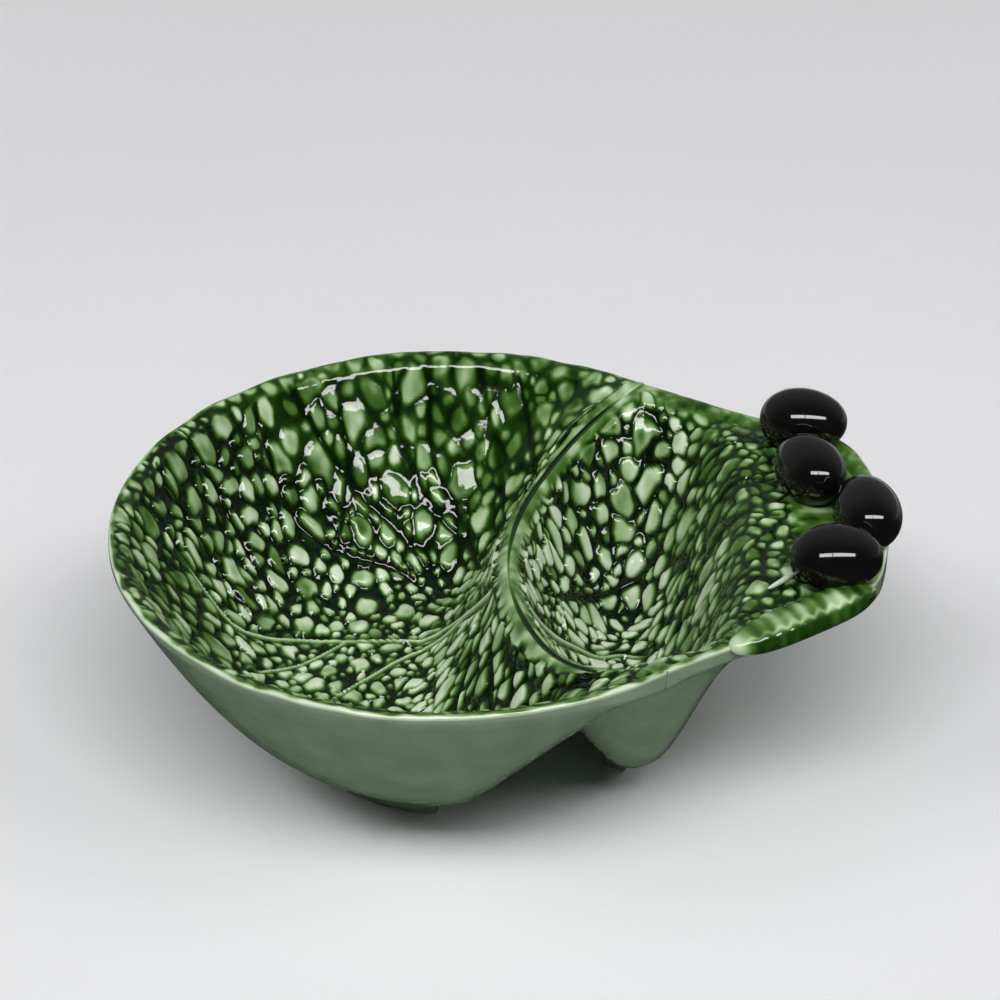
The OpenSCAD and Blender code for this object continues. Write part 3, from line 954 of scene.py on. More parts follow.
@dataclass
class LeafRelief:
    """The leaf's pressed relief over one bowl: puckers of mixed sizes with channels between, and veins."""

    side: Side
    form: DishForm
    veins: tuple[Vein, ...]
    fan: Point
    seed: int
    sweeps: tuple[Sweep, ...] = (
        Sweep(3.1, 1300, 0.8, 1.0, 0.66),
        Sweep(1.75, 5000, 0.7, 1.0, 0.9),
        Sweep(1.1, 9000, 0.55, 0.95),
    )
    pucker_vary: float = 0.25
    pucker_spread: float = 1.4
    gap_depth: float = 0.66
    bulge_mm: float = 0.35
    channel_w: float = 0.55
    flank_w: float = 1.25
    channel_mm: float = 1.2
    merged_share: float = 0.8
    merged_depth: float = 0.25
    vein_mm: float = 0.5
    rib_mm: float = 0.58
    fan_reach: float = 36.0
    fan_stretch: float = 2.2
    fan_shrink: float = 0.4
    steep_slope: float = 0.8
    wall_stretch: float = 1.4
    back_swell: float = 0.3
    back_apart: float = 0.15
    crest_start: float = 1.4
    crest_mm: float = 2.0
    shoulder_mm: float = 1.0
    slip_mm: float = 0.15
    lump_mm: float = 3.4
    puckers: Puckers = field(init=False)

    def __post_init__(self) -> None:
        """Strews the puckers over the leaf, the largest first, each where it clears those that lie there."""
        self.fan = tuple(v * self.form.rim_r / 100 for v in self.fan)
        middle, radius, height = np.empty((0, 2)), np.empty(0), np.empty(0)
        low, high = self.plan_box()
        for number, sweep in enumerate(self.sweeps):
            u = draws(self.seed + number, 4 * sweep.throws).reshape(-1, 4)
            spots = low + (high - low) * u[:, :2]
            sizes = self.pucker_size(*spots.T) * sweep.radius * (1 + self.pucker_vary * (2 * u[:, 2] - 1))
            along, stretch = self.lie(spots) if number == 0 else self.drawn_lie(spots)
            earlier = len(radius)
            for p, size, way, long, lot in zip(spots, sizes, along, stretch, u[:, 3]):
                d = middle - p
                apart = np.hypot(d @ way / long, (d[:, 0] * way[1] - d[:, 1] * way[0]) * math.sqrt(long))
                if (apart < size + radius).any():
                    continue
                middle = np.vstack([middle, p])
                radius = np.append(radius, size)
                height = np.append(height, mix(sweep.highest, sweep.lowest, lot))
            radius[earlier:] *= sweep.drawn * (1 - self.back_apart * self.back_wall(*middle[earlier:].T))
        self.puckers = Puckers(middle, radius, height, *self.drawn_lie(middle))

    def plan_box(self) -> tuple[Array, Array]:
        """The box round the leaf's plan.

        Returns:
            Its lowest and its highest corner.
        """
        f = self.form
        if self.side is Side.LARGE:
            return np.array([-f.rim_r, -f.rim_r]), np.array([f.joint(f.divider_r + self.slip_mm)[0], f.rim_r])
        end = f.joint(f.divider_r - self.slip_mm)[1]
        reach = f.outline(self.side, 2000)[:, 0].max()
        return np.array([f.divider_x + self.slip_mm, -end]), np.array([reach, end])

    def near_fan(self, x: Array, y: Array) -> Array:
        """Share by which a place belongs to the fan at the foot of the divider."""
        return 1 - smooth(np.hypot(x - self.fan[0], y - self.fan[1]) / self.fan_reach)

    def back_wall(self, x: Array, y: Array) -> Array:
        """Share by which a place belongs to the back wall, which starts halfway to the rim."""
        start, soft = 0.5, 0.3
        return np.where(x < self.form.tip_joint[0], smooth((y / self.form.rim_r - start) / soft), 0.0)

    def pucker_size(self, x: Array, y: Array) -> Array:
        """Size of the puckers: smaller at the foot of the divider, larger on the back wall."""
        return (1 - self.fan_shrink * self.near_fan(x, y)) * (1 + self.back_swell * self.back_wall(x, y))

    def lie(self, spots: Array) -> tuple[Array, Array]:
        """How puckers lie along the fan.

        Args:
            spots: their middles, one per row.

        Returns:
            Their directions, one per row, and how many times longer than wide they are.
        """
        away = spots - np.asarray(self.fan)
        along = away / np.linalg.norm(away, axis=1)[:, None]
        return along, mix(1.0, self.fan_stretch, self.near_fan(*spots.T))

    def drawn_lie(self, spots: Array) -> tuple[Array, Array]:
        """How puckers lie as drawn: along the fan, and down the fall line of a wall.

        Args:
            spots: their middles, one per row.

        Returns:
            Their directions, one per row, and how many times longer than wide they are from above.
        """
        step, fan_keeps = 0.5, 0.3
        along, stretch = self.lie(spots)
        x, y = spots.T
        slope = self.form.slope(self.side, x, y, step)
        steep = np.linalg.norm(slope, axis=1)
        down = steep > self.steep_slope
        if self.side is Side.LARGE:
            down &= self.near_fan(x, y) < fan_keeps
        along = np.where(down[:, None], slope / np.maximum(steep, 1e-9)[:, None], along)
        # Seen from above, a slope shortens what lies on it
        flat_stretch, wall_power, flat_power = 0.9, 0.4, 0.2
        stretch = np.where(down, self.wall_stretch, flat_stretch * stretch)
        return along, stretch / (1 + steep**2) ** np.where(down, wall_power, flat_power)

    def pair_depth(self, a: Array, b: Array) -> Array:
        """Depth of the channel between two puckers, from run together to cleanly apart.

        Args:
            a: the number of the one.
            b: the number of the other.

        Returns:
            Depths up to 1, the same for a pair either way round.
        """
        # Steps that spread the pairs' lots evenly
        first_step, second_step = 0.7548776662, 0.5698402910
        low, high = np.minimum(a, b), np.maximum(a, b)
        lot = (low * first_step + high * second_step) % 1.0
        return mix(self.merged_depth, 1.0, smooth(lot / self.merged_share))

    def crowns(self, x: Array, y: Array, core: Array, flank: Array, gap: Array) -> tuple[Array, Array, Array]:
        """The pucker over each point, which spreads to a channel halfway to its neighbours.

        Args:
            x: plan coordinates.
            y: plan coordinates.
            core: half the width of the channels' dark floor.
            flank: width of a pucker's domed flank.
            gap: depth of the places that no pucker reaches.

        Returns:
            The rise from 0 in a channel to 1, the share of the way from the pucker's middle to its edge, and
            the pucker's number.
        """
        k = self.puckers
        rise, out, which = np.zeros(x.shape), np.ones(x.shape), np.zeros(x.shape, int)
        # Points are worked in square tiles, and channels are as wide as their pucker is large
        tile, usual, grow_range, doming, widest = 12.0, 2.6, (0.5, 1.25), 0.1, 1.3
        reach = k.radius * k.stretch * 2 * self.pucker_spread
        column, row = np.floor(x / tile).astype(int), np.floor(y / tile).astype(int)
        for i, j in sorted(set(zip(column.tolist(), row.tolist()))):
            here = np.nonzero((column == i) & (row == j))[0]
            off = np.abs(k.middle - ((i + 0.5) * tile, (j + 0.5) * tile)).max(1)
            near = np.nonzero(off < tile / 2 + reach)[0]
            if not len(near):
                continue
            dx = x[here, None] - k.middle[near, 0]
            dy = y[here, None] - k.middle[near, 1]
            u = (dx * k.along[near, 0] + dy * k.along[near, 1]) / k.stretch[near]
            v = (dx * k.along[near, 1] - dy * k.along[near, 0]) * np.sqrt(k.stretch[near])
            share = np.hypot(u, v) / k.radius[near]
            rows, best = np.arange(len(here)), share.argmin(1)
            first, radius = share[rows, best], k.radius[near][best]
            grown = np.clip(radius / usual, *grow_range)
            inner, wide = core[here] * grown, flank[here] * grown
            to_edge = np.column_stack([(share - first[:, None]) * radius[:, None] / 2,
                                       (self.pucker_spread - first) * radius])
            to_edge[rows, best] = np.inf
            depth = self.pair_depth(near[best][:, None], near[None, :])
            depth = np.column_stack([depth, gap[here]])
            dome = clamp01((to_edge - inner[:, None]) / wide[:, None])
            channel = 1 - (1 - depth * (1 - dome) ** 2).prod(1)
            domed = 1 - doming * np.minimum(first, widest) ** 2
            rise[here] = k.height[near][best] * (1 - channel) * domed
            out[here] = first / (first + to_edge.min(1).clip(0) / radius + 1e-6)
            which[here] = near[best]
        return rise, out, which

    def vein_marks(self, x: Array, y: Array) -> tuple[Array, Array]:
        """The veins' marks.

        Args:
            x: plan coordinates.
            y: plan coordinates.

        Returns:
            How far each point lies in a vein's groove, and on a vein's rib, from 0 to 1.
        """
        reach, thick, ragged_size = 6.0, 1.15, 4.0
        groove_half, groove_taper, groove_start = 0.85, 0.4, 0.25
        rib_half, rib_taper, rib_end = 1.35, 0.5, 0.15
        sharp, soft = 0.1, 1.4
        groove, rib = np.zeros_like(x), np.zeros_like(x)
        for vein in self.veins:
            line = curve_through(vein.points) * self.form.rim_r / 100
            d, share = distance_to_line(x, y, line, reach)
            tapered = vein.width * (thick - groove_taper * share)
            if vein.kind is VeinKind.RIB:
                half = rib_half * tapered
                width = self.rib_mm * vein.width * (thick - rib_taper * share)
                rib = np.maximum(rib, smooth((1 - share) / rib_end) * np.exp(-(d / width) ** 2))
            else:
                ragged = 0.45 + 1.1 * soft_noise(x, y, ragged_size, self.seed + 7)
                half = groove_half * tapered * ragged * mix(groove_start, 1.0, smooth(share / 0.5))
            groove = np.maximum(groove, 1 - smooth((d - sharp * half) / (soft * half)))
        return groove, rib

    def fade(self, x: Array, y: Array, inset: Array) -> Array:
        """Share of the relief that is left at the rim, the divider's crest, the shelf and the back shoulder.

        Args:
            x: plan coordinates.
            y: plan coordinates.
            inset: distance from the bowl's outline.

        Returns:
            The shares, from 0 to 1.
        """
        f = self.form
        rim_start, rim_soft, rim_low, full_start, full_soft = 0.9, 0.9, 0.5, 2.5, 3
        divider_clear, divider_soft, shoulder_loss, shoulder_in = 6, 4, 0.55, 0.3
        crest = smooth((np.abs(f.from_divider(x, y)) - self.crest_start) / self.crest_mm)
        rim = smooth((inset - rim_start) / rim_soft)
        rim = rim * mix(rim_low, 1.0, smooth((inset - full_start) / full_soft))
        away = smooth((np.abs(f.from_divider(x, y)) - divider_clear) / divider_soft)
        turned = np.exp(-((inset - f.wall_t - shoulder_in) / self.shoulder_mm) ** 2)
        rim = rim * (1 - shoulder_loss * away * turned)
        if self.side is Side.LARGE:
            return crest * rim
        shelf_soft, edge_low, edge_start, edge_soft = 8, 0.35, 5, 9
        shoulder = f.inside_line(x, y, f.back_corner, f.tip_joint)
        shelf = smooth((f.shelf_x + shelf_soft - x) / shelf_soft)
        return crest * rim * shelf * mix(edge_low, 1.0, smooth((shoulder - edge_start) / edge_soft))

    def regions(self, x: Array, y: Array) -> Regions:
        """The regions that places lie in.

        Args:
            x: plan coordinates.
            y: plan coordinates.

        Returns:
            The shares by which they belong to each.
        """
        f = self.form
        upper_h, upper_soft, tip_l, tip_soft, floor_soft = 30, 14, 20, 12, 16
        z = f.upper(self.side, x, y)
        back = self.back_wall(x, y)
        upper_back = back * smooth((z - f.rim_h + upper_h) / upper_soft)
        tip_wall = np.zeros_like(x)
        if self.side is Side.SMALL:
            tip_wall = smooth((x - f.shelf_x + tip_l) / tip_soft)
        # The floor share says where painted light makes the tone paler.
        floor = 1 - smooth((z - f.floor_z) / floor_soft)
        return Regions(self.near_fan(x, y), back, upper_back, tip_wall, floor)

    def drifted(self, x: Array, y: Array) -> list[Array]:
        """Plan coordinates moved a little to and fro, so that no pucker is a plain oval.

        Args:
            x: plan coordinates.
            y: plan coordinates.

        Returns:
            Both coordinates, moved.
        """
        broad, broad_size, fine, fine_size = 2.2, 5.5, 0.9, 1.8
        drift = [broad * (soft_noise(x, y, broad_size, self.seed + k) - 0.5)
                 + fine * (soft_noise(x, y, fine_size, self.seed + k + 2) - 0.5) for k in (1, 2)]
        return [x + drift[0], y + drift[1]]

    def channels(self, x: Array, y: Array, here: Regions) -> tuple[Array, Array, Array]:
        """The channels between puckers.

        Args:
            x: plan coordinates.
            y: plan coordinates.
            here: the regions.

        Returns:
            Half the width of a channel's floor, the width of a flank, and the depth where no pucker lies.
        """
        core_size, gap_size, shallow, deep = 6.0, 9.0, 0.4, 1.3
        fan_core, fan_flank, back_flank = 0.6, 0.4, 0.2
        core = self.channel_w * soft_noise(x, y, core_size, self.seed + 6) * (1 - fan_core * here.fan)
        flank = self.flank_w * (1 - fan_flank * here.fan) * (1 + back_flank * here.back)
        gap = mix(shallow, deep, soft_noise(x, y, gap_size, self.seed + 8)).clip(shallow, deep)
        return core, flank, self.gap_depth * gap

    def lumps(self, x: Array, y: Array) -> Array:
        """The clay's unevenness on the puckers, a swell and a finer one, about 0 in the mean."""
        swell = 0.7 * soft_noise(x, y, self.lump_mm, self.seed + 5)
        return swell + 0.5 * soft_noise(x, y, self.lump_mm / 2, self.seed + 9) - 0.6

    def pressed(self, rise: Array, bulge: Array, lumps: Array, groove: Array, here: Regions) -> Array:
        """How deep the leaf is pressed into the clay.

        Args:
            rise: from 0 in a channel to 1 on a pucker.
            bulge: share of a large pucker's bulge that is lost towards its edge.
            lumps: the clay's unevenness.
            groove: from 0 to 1 in a vein's groove.
            here: the regions.

        Returns:
            Depths in millimetres.
        """
        lump_depth, back_lump, back_bulge = 0.25, 0.12, 0.4
        # How much flatter the back wall is, its upper part, and the tip wall
        back_flat, upper_flat, tip_flat = 0.66, 0.7, 0.3
        depth = self.channel_mm * (1 - rise) + self.vein_mm * groove
        depth = depth - (lump_depth + back_lump * here.back) * lumps * rise
        depth = depth * (1 - back_flat * here.back) * (1 - tip_flat * here.tip_wall)
        depth = depth + self.bulge_mm * bulge * (1 + back_bulge * here.back)
        return depth * (1 - upper_flat * here.upper_back)

    def tone(self, rise: Array, pooled: Array, large: Array, lot: Array, lumps: Array,
             here: Regions) -> Array:
        """The glaze's tone on and between the puckers, with painted light on the floors and painted shade on
        the walls and the back wall.

        Args:
            rise: from 0 in a channel to 1 on a pucker.
            pooled: share by which glaze stands in the hollow on a large pucker.
            large: share by which a pucker is a large one.
            lot: each pucker's own lot, from 0 to 1.
            lumps: the clay's unevenness.
            here: the regions.

        Returns:
            Tones, about 0 where the glaze pools and 1 where the body is bare.
        """
        plain, by_lot, by_size, by_fan, by_pool = 0.92, 0.24, 0.08, 0.14, 0.25
        by_lumps, back_lumps, tip_lumps = 0.5, 0.1, 0.3
        back_painted_shade, tip_darker, top_start = 0.12, 0.24, 0.5
        floor_painted_light, wall_painted_shade = (0.2, 0.04) if self.side is Side.SMALL else (0.06, 0.1)
        tone = rise * (plain + by_lot * lot - by_size * large + by_fan * here.fan) - by_pool * pooled
        tone = tone + (by_lumps + back_lumps * here.back + tip_lumps * here.tip_wall) * lumps * rise
        # Painted light makes the floors paler, and painted shade makes the walls and the back wall darker.
        painted_light_and_shade = floor_painted_light * here.floor - wall_painted_shade * (1 - here.floor)
        tone = tone * (1 - back_painted_shade * here.back) + painted_light_and_shade * smooth(rise / top_start)
        return tone * (1 - tip_darker * here.tip_wall)

    def at(self, x: Array, y: Array, inset: Array) -> tuple[Array, Array]:
        """The relief over plan points.

        Args:
            x: plan coordinates in the rim frame.
            y: plan coordinates in the rim frame.
            inset: distance from the bowl's outline.

        Returns:
            How far the surface stands out, and the glaze's tone from 0, pooled, to 1, bare.
        """
        here = self.regions(x, y)
        rise, out, which = self.crowns(*self.drifted(x, y), *self.channels(x, y, here))
        groove, rib = self.vein_marks(x, y)
        # Channels are shallower on the back wall and the tip wall, and veins cut less on the back wall
        back_lift, tip_lift, tip_share, vein_cut, back_cut = 0.36, 0.3, 0.7, 0.88, 0.35
        rise = mix(rise, back_lift + (1 - back_lift) * rise, here.back)
        rise = rise * (1 - vein_cut * groove * (1 - back_cut * here.back))
        rise = mix(rise, tip_lift + (1 - tip_lift) * rise, tip_share * here.tip_wall)
        lumps = self.lumps(x, y)
        large_from, hollow = 1.2, 0.8
        large = smooth((self.puckers.radius[which] - large_from) / large_from)
        lot = np.random.default_rng(self.seed).random(len(self.puckers.radius))[which]
        pooled = large * (1 - smooth(out / hollow)) * lot
        rib_level, rib_share, rib_tone = 0.25, 0.9, 0.95
        depth = self.pressed(rise, large * out**2, lumps, groove, here)
        depth = mix(depth, rib_level * self.channel_mm, rib_share * rib)
        tone = mix(self.tone(rise, pooled, large, lot, lumps, here), rib_tone, rib)
        # Smooth places, where the glaze is worn thin, most beside the divider
        beside, beside_tone, plain_tone, uneven, soon = 8, 0.6, 0.53, 0.5, 1.6
        near_divider = np.abs(self.form.from_divider(x, y)) < beside
        worn = np.where(near_divider, beside_tone, plain_tone) + uneven * lumps
        fade = self.fade(x, y, inset)
        return -fade * depth, clamp01(mix(worn, tone, smooth(fade * soon)))


@dataclass
class LeafBowl:
    """One bowl of the dish as a closed shell: the leaf inside, a rounded rim, and the plain outside."""

    side: Side
    form: DishForm
    relief: LeafRelief
    finish: bpy.types.Material
    outside_finish: bpy.types.Material
    faces: int = 300
    rim_rings: int = 14
    groove: float = 0.8
    rim_wave_mm: float = 0.7
    lip_mm: float = 0.8
    shoulder_mm: float = 1.5
    outside_share: int = 4
    crowding: float = 0.35
    divider_soft: float = 8.0

    @property
    def centre(self) -> Array:
        """The point that the rings close in on.

        Returns:
            The point in the rim frame.
        """
        if self.side is Side.LARGE:
            return np.array([(self.form.divider_x - self.form.rim_r) / 2, 0.0])
        return np.array([(self.form.divider_x + self.form.shelf_x) / 2, 0.0])

    def spread(self, edge: Array, out: Array) -> tuple[Array, Array]:
        """Rings between the middle and an edge, closer together at the edge.

        Args:
            edge: the edge's points, one per row.
            out: share of the rings from the middle to the edge.

        Returns:
            Places in the rim frame, one per row, and their share of the way to the edge.
        """
        share = out * (1 + self.crowding * (1 - out))
        return self.centre + (edge - self.centre) * share[:, None], share

    def rings(self, square: Array) -> tuple[Array, Array]:
        """Turns places on a square into rings.

        Args:
            square: places from 0 to 1 each way.

        Returns:
            The share of the way out from the middle, and the share of the way round.
        """
        u, v = (square * 2 - 1).T
        out = np.maximum(np.abs(u), np.abs(v))
        safe = np.maximum(out, 1e-9)
        right = np.isclose(u, out)
        top = np.isclose(v, out) & ~right
        left = np.isclose(-u, out) & ~right & ~top
        turn = np.where(right, (v / safe + 1) / 8, 0.75 + (u / safe + 1) / 8)
        turn = np.where(top, 0.25 + (1 - u / safe) / 8, turn)
        turn = np.where(left, 0.5 + (1 - v / safe) / 8, turn)
        return out, turn % 1.0

    def round_edge(self, turn: Array, inset: float) -> Array:
        """Points of the rim's outline, moved inwards.

        Args:
            turn: share of the way round.
            inset: distance from the outline.

        Returns:
            Points in the rim frame, one per row.
        """
        # The inward directions are averaged along the outline, so that corners come out round
        count, windows = 4 * self.faces, 40
        path = self.form.outline(self.side, count)
        along = np.roll(path, -1, 0) - np.roll(path, 1, 0)
        inwards = np.column_stack([-along[:, 1], along[:, 0]])
        inwards /= np.linalg.norm(inwards, axis=1)[:, None]
        window = max(3, count // windows)
        inwards = sum(np.roll(inwards, k, 0) for k in range(-window, window + 1))
        inwards /= np.linalg.norm(inwards, axis=1)[:, None]
        path = path + inwards * inset
        stations = np.arange(count + 1) / count
        closed = np.vstack([path, path[:1]])
        return np.column_stack([np.interp(turn, stations, closed[:, k]) for k in (0, 1)])

    def leaf_points(self, out: Array, turn: Array) -> tuple[Array, Array]:
        """The leaf's surface with its relief.

        Args:
            out: share of the way from the middle to the inner edge.
            turn: share of the way round.

        Returns:
            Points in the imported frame, one per row, and the relief from 0 to 1.
        """
        f = self.form
        edge = self.round_edge(turn, f.wall_t)
        plan, share = self.spread(edge, out)
        inset = f.wall_t + (1 - share) * np.linalg.norm(edge - self.centre, axis=1)
        x, y = plan.T
        step, lip_reach = 0.15, 7
        z = f.upper(self.side, x, y)
        normal = np.column_stack([-f.slope(self.side, x, y, step), np.ones_like(x)])
        normal /= np.linalg.norm(normal, axis=1)[:, None]
        stands_out, relief = self.relief.at(x, y, inset)
        lip_fall = self.lip_fall(x, y) * (1 - smooth((inset - f.wall_t) / lip_reach))
        z = z - lip_fall - self.shoulder_fall(x, y, inset)
        points = np.column_stack([x - f.middle, y, z]) + normal * stands_out[:, None]
        return points, relief

    def rim_points(self, over: Array, turn: Array) -> tuple[Array, Array]:
        """The rounded rim, from the inner edge over its top to the outside.

        Args:
            over: share of the way over the rim.
            turn: share of the way round.

        Returns:
            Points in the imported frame, one per row, and the relief from 0 to 1.
        """
        f = self.form
        outer = self.round_edge(turn, 0.0)
        inner = self.round_edge(turn, f.wall_t)
        seam = np.abs(f.from_divider(*outer.T)) < 0.05
        # The line on the divider's crest dies out at its ends, and half closes along a pale stretch
        end_share, pale_at, pale_half, pale_close, slight = 0.22, 0.48, 0.1, 0.6, 0.1
        along = f.along_divider(*outer.T)
        ends = smooth(np.minimum(1, 2 * np.minimum(along, 1 - along) / end_share))
        pale = np.exp(-(((along - pale_at) / pale_half) ** 2))
        groove = slight + (self.groove - slight) * ends * (1 - pale_close * pale)
        bevel = np.where(seam, groove, f.rim_bevel)
        # Shares of the way over where the top ends, and where the rounding does
        flat, turned, down = 0.5, 0.85, 0.8
        a = clamp01(over / flat)
        b = clamp01((over - flat) / (turned - flat)) * math.pi / 2
        c = clamp01((over - turned) / (1 - turned))
        inset = np.where(over < flat, mix(f.wall_t, bevel, a), bevel * (1 - np.sin(b)))
        plan = outer + (inner - outer) * (inset / f.wall_t)[:, None]
        top = f.edge(self.side, *outer.T)
        start = f.upper(self.side, *inner.T)
        start = start - self.lip_fall(*inner.T)
        z = np.where(over < flat, mix(start, top, smooth(a)), top - bevel * (1 - np.cos(b)))
        bottom = f.lower(self.side, *outer.T)
        z = mix(z, mix(top - bevel, bottom, down), c)
        x, y = plan.T
        stands_out, relief = self.relief.at(x, y, inset)
        z = z - self.shoulder_fall(x, y, inset) + np.where(over < flat, stands_out, stands_out * np.cos(b))
        wave_size, wave_seed, edge_size, edge_seed = 7.0, 31, 3.5, 33
        wave = self.rim_wave_mm * (soft_noise(*outer.T, wave_size, wave_seed) - 0.5)
        z = z + wave * self.off_divider(*outer.T) * smooth(a) * (1 - c)
        # The edge is worn bare along an uneven line, and glaze stands in the divider's groove
        bare_tone, groove_tone, pale_tone, soft = 0.95, 0.12, 0.6, 0.14
        seam_edge, rim_edge, uneven = 0.48, 0.56, 0.2
        bare = np.where(seam, mix(bare_tone, mix(groove_tone, pale_tone, pale), ends), bare_tone)
        ragged = uneven * (soft_noise(*outer.T, edge_size, edge_seed) - 0.5)
        edge = np.where(seam, seam_edge, rim_edge + ragged)
        relief = mix(relief, bare, smooth((over - edge) / soft))
        return np.column_stack([x - f.middle, y, z]), relief

    def off_divider(self, x: Array, y: Array) -> Array:
        """Share from 0 beside the divider to 1 away from it."""
        return smooth((np.abs(self.form.from_divider(x, y)) - self.form.wall_t) / self.divider_soft)

    def lip_fall(self, x: Array, y: Array) -> Array:
        """How far the top of the rim slopes down inwards, less beside the divider."""
        return self.lip_mm * self.off_divider(x, y)

    def shoulder_fall(self, x: Array, y: Array, inset: Array) -> Array:
        """How much is rounded off where the top of the rim turns down into the bowl."""
        share = clamp01(1 - np.abs(inset - self.form.wall_t) / self.shoulder_mm)
        return self.off_divider(x, y) * self.shoulder_mm / 2 * share**2

    def build(self) -> bpy.types.Object:
        """Builds the shell.

        Returns:
            The finished piece.
        """
        piece, square = new_grid(self.side.value + "_leaf", self.faces, self.faces)
        out, turn = self.rings(square)
        rim_start = 1 - 2 * self.rim_rings / self.faces
        on_rim = out > rim_start + 1e-6
        points = np.empty((len(out), 3))
        relief = np.empty(len(out))
        points[~on_rim], relief[~on_rim] = self.leaf_points(out[~on_rim] / rim_start, turn[~on_rim])
        over = (out[on_rim] - rim_start) / (1 - rim_start)
        points[on_rim], relief[on_rim] = self.rim_points(over, turn[on_rim])
        leaf_end, leaf_soft = 0.7, 0.16
        inside = np.ones(len(out))
        inside[on_rim] = 1 - smooth((over - leaf_end) / leaf_soft)
        move_to(piece.data, points)
        set_attribute(piece.data, "relief", relief)
        set_attribute(piece.data, "inside", inside)
        self.bridge(piece, self.outside())
        close_up(piece)
        dress(piece, self.finish, "leaf_glaze", self.side.value)
        self.dress_outside(piece)
        return piece

    def dress_outside(self, piece: bpy.types.Object) -> None:
        """Gives the faces past the rim the outside's finish.

        Args:
            piece: the shell.
        """
        least_inside = 0.02
        piece.data.materials.append(self.outside_finish)
        inside = np.empty(len(piece.data.vertices), np.float32)
        piece.data.attributes["inside"].data.foreach_get("value", inside)
        for face in piece.data.polygons:
            face.material_index = int(inside[list(face.vertices)].max() < least_inside)

    def outside(self) -> bpy.types.Object:
        """Builds the plain outside and underside.

        Returns:
            A coarser sheet, open along the rim.
        """
        f = self.form
        count = self.faces // self.outside_share
        sheet, square = new_grid(self.side.value + "_outside", count, count)
        out, turn = self.rings(square)
        plan, _ = self.spread(self.round_edge(turn, 0.0), out)
        z = f.lower(self.side, *plan.T)
        move_to(sheet.data, np.column_stack([plan[:, 0] - f.middle, plan[:, 1], z]))
        set_attribute(sheet.data, "relief", np.full(len(out), 0.5))
        set_attribute(sheet.data, "inside", np.zeros(len(out)))
        return sheet

    def bridge(self, piece: bpy.types.Object, outside: bpy.types.Object) -> None:
        """Joins the leaf and the outside along their open edges.

        Args:
            piece: the leaf with its rim, which takes the outside in.
            outside: the outside.
        """
        take_in(piece, outside)
        bpy.ops.object.mode_set(mode="EDIT")
        bpy.ops.mesh.select_mode(type="EDGE")
        bpy.ops.mesh.select_all(action="DESELECT")
        bpy.ops.mesh.select_non_manifold(extend=False, use_wire=False, use_boundary=True,
                                         use_multi_face=False, use_non_contiguous=False, use_verts=False)
        bpy.ops.mesh.bridge_edge_loops(type="SINGLE")
        bpy.ops.mesh.select_mode(type="VERT")
        bpy.ops.object.mode_set(mode="OBJECT")


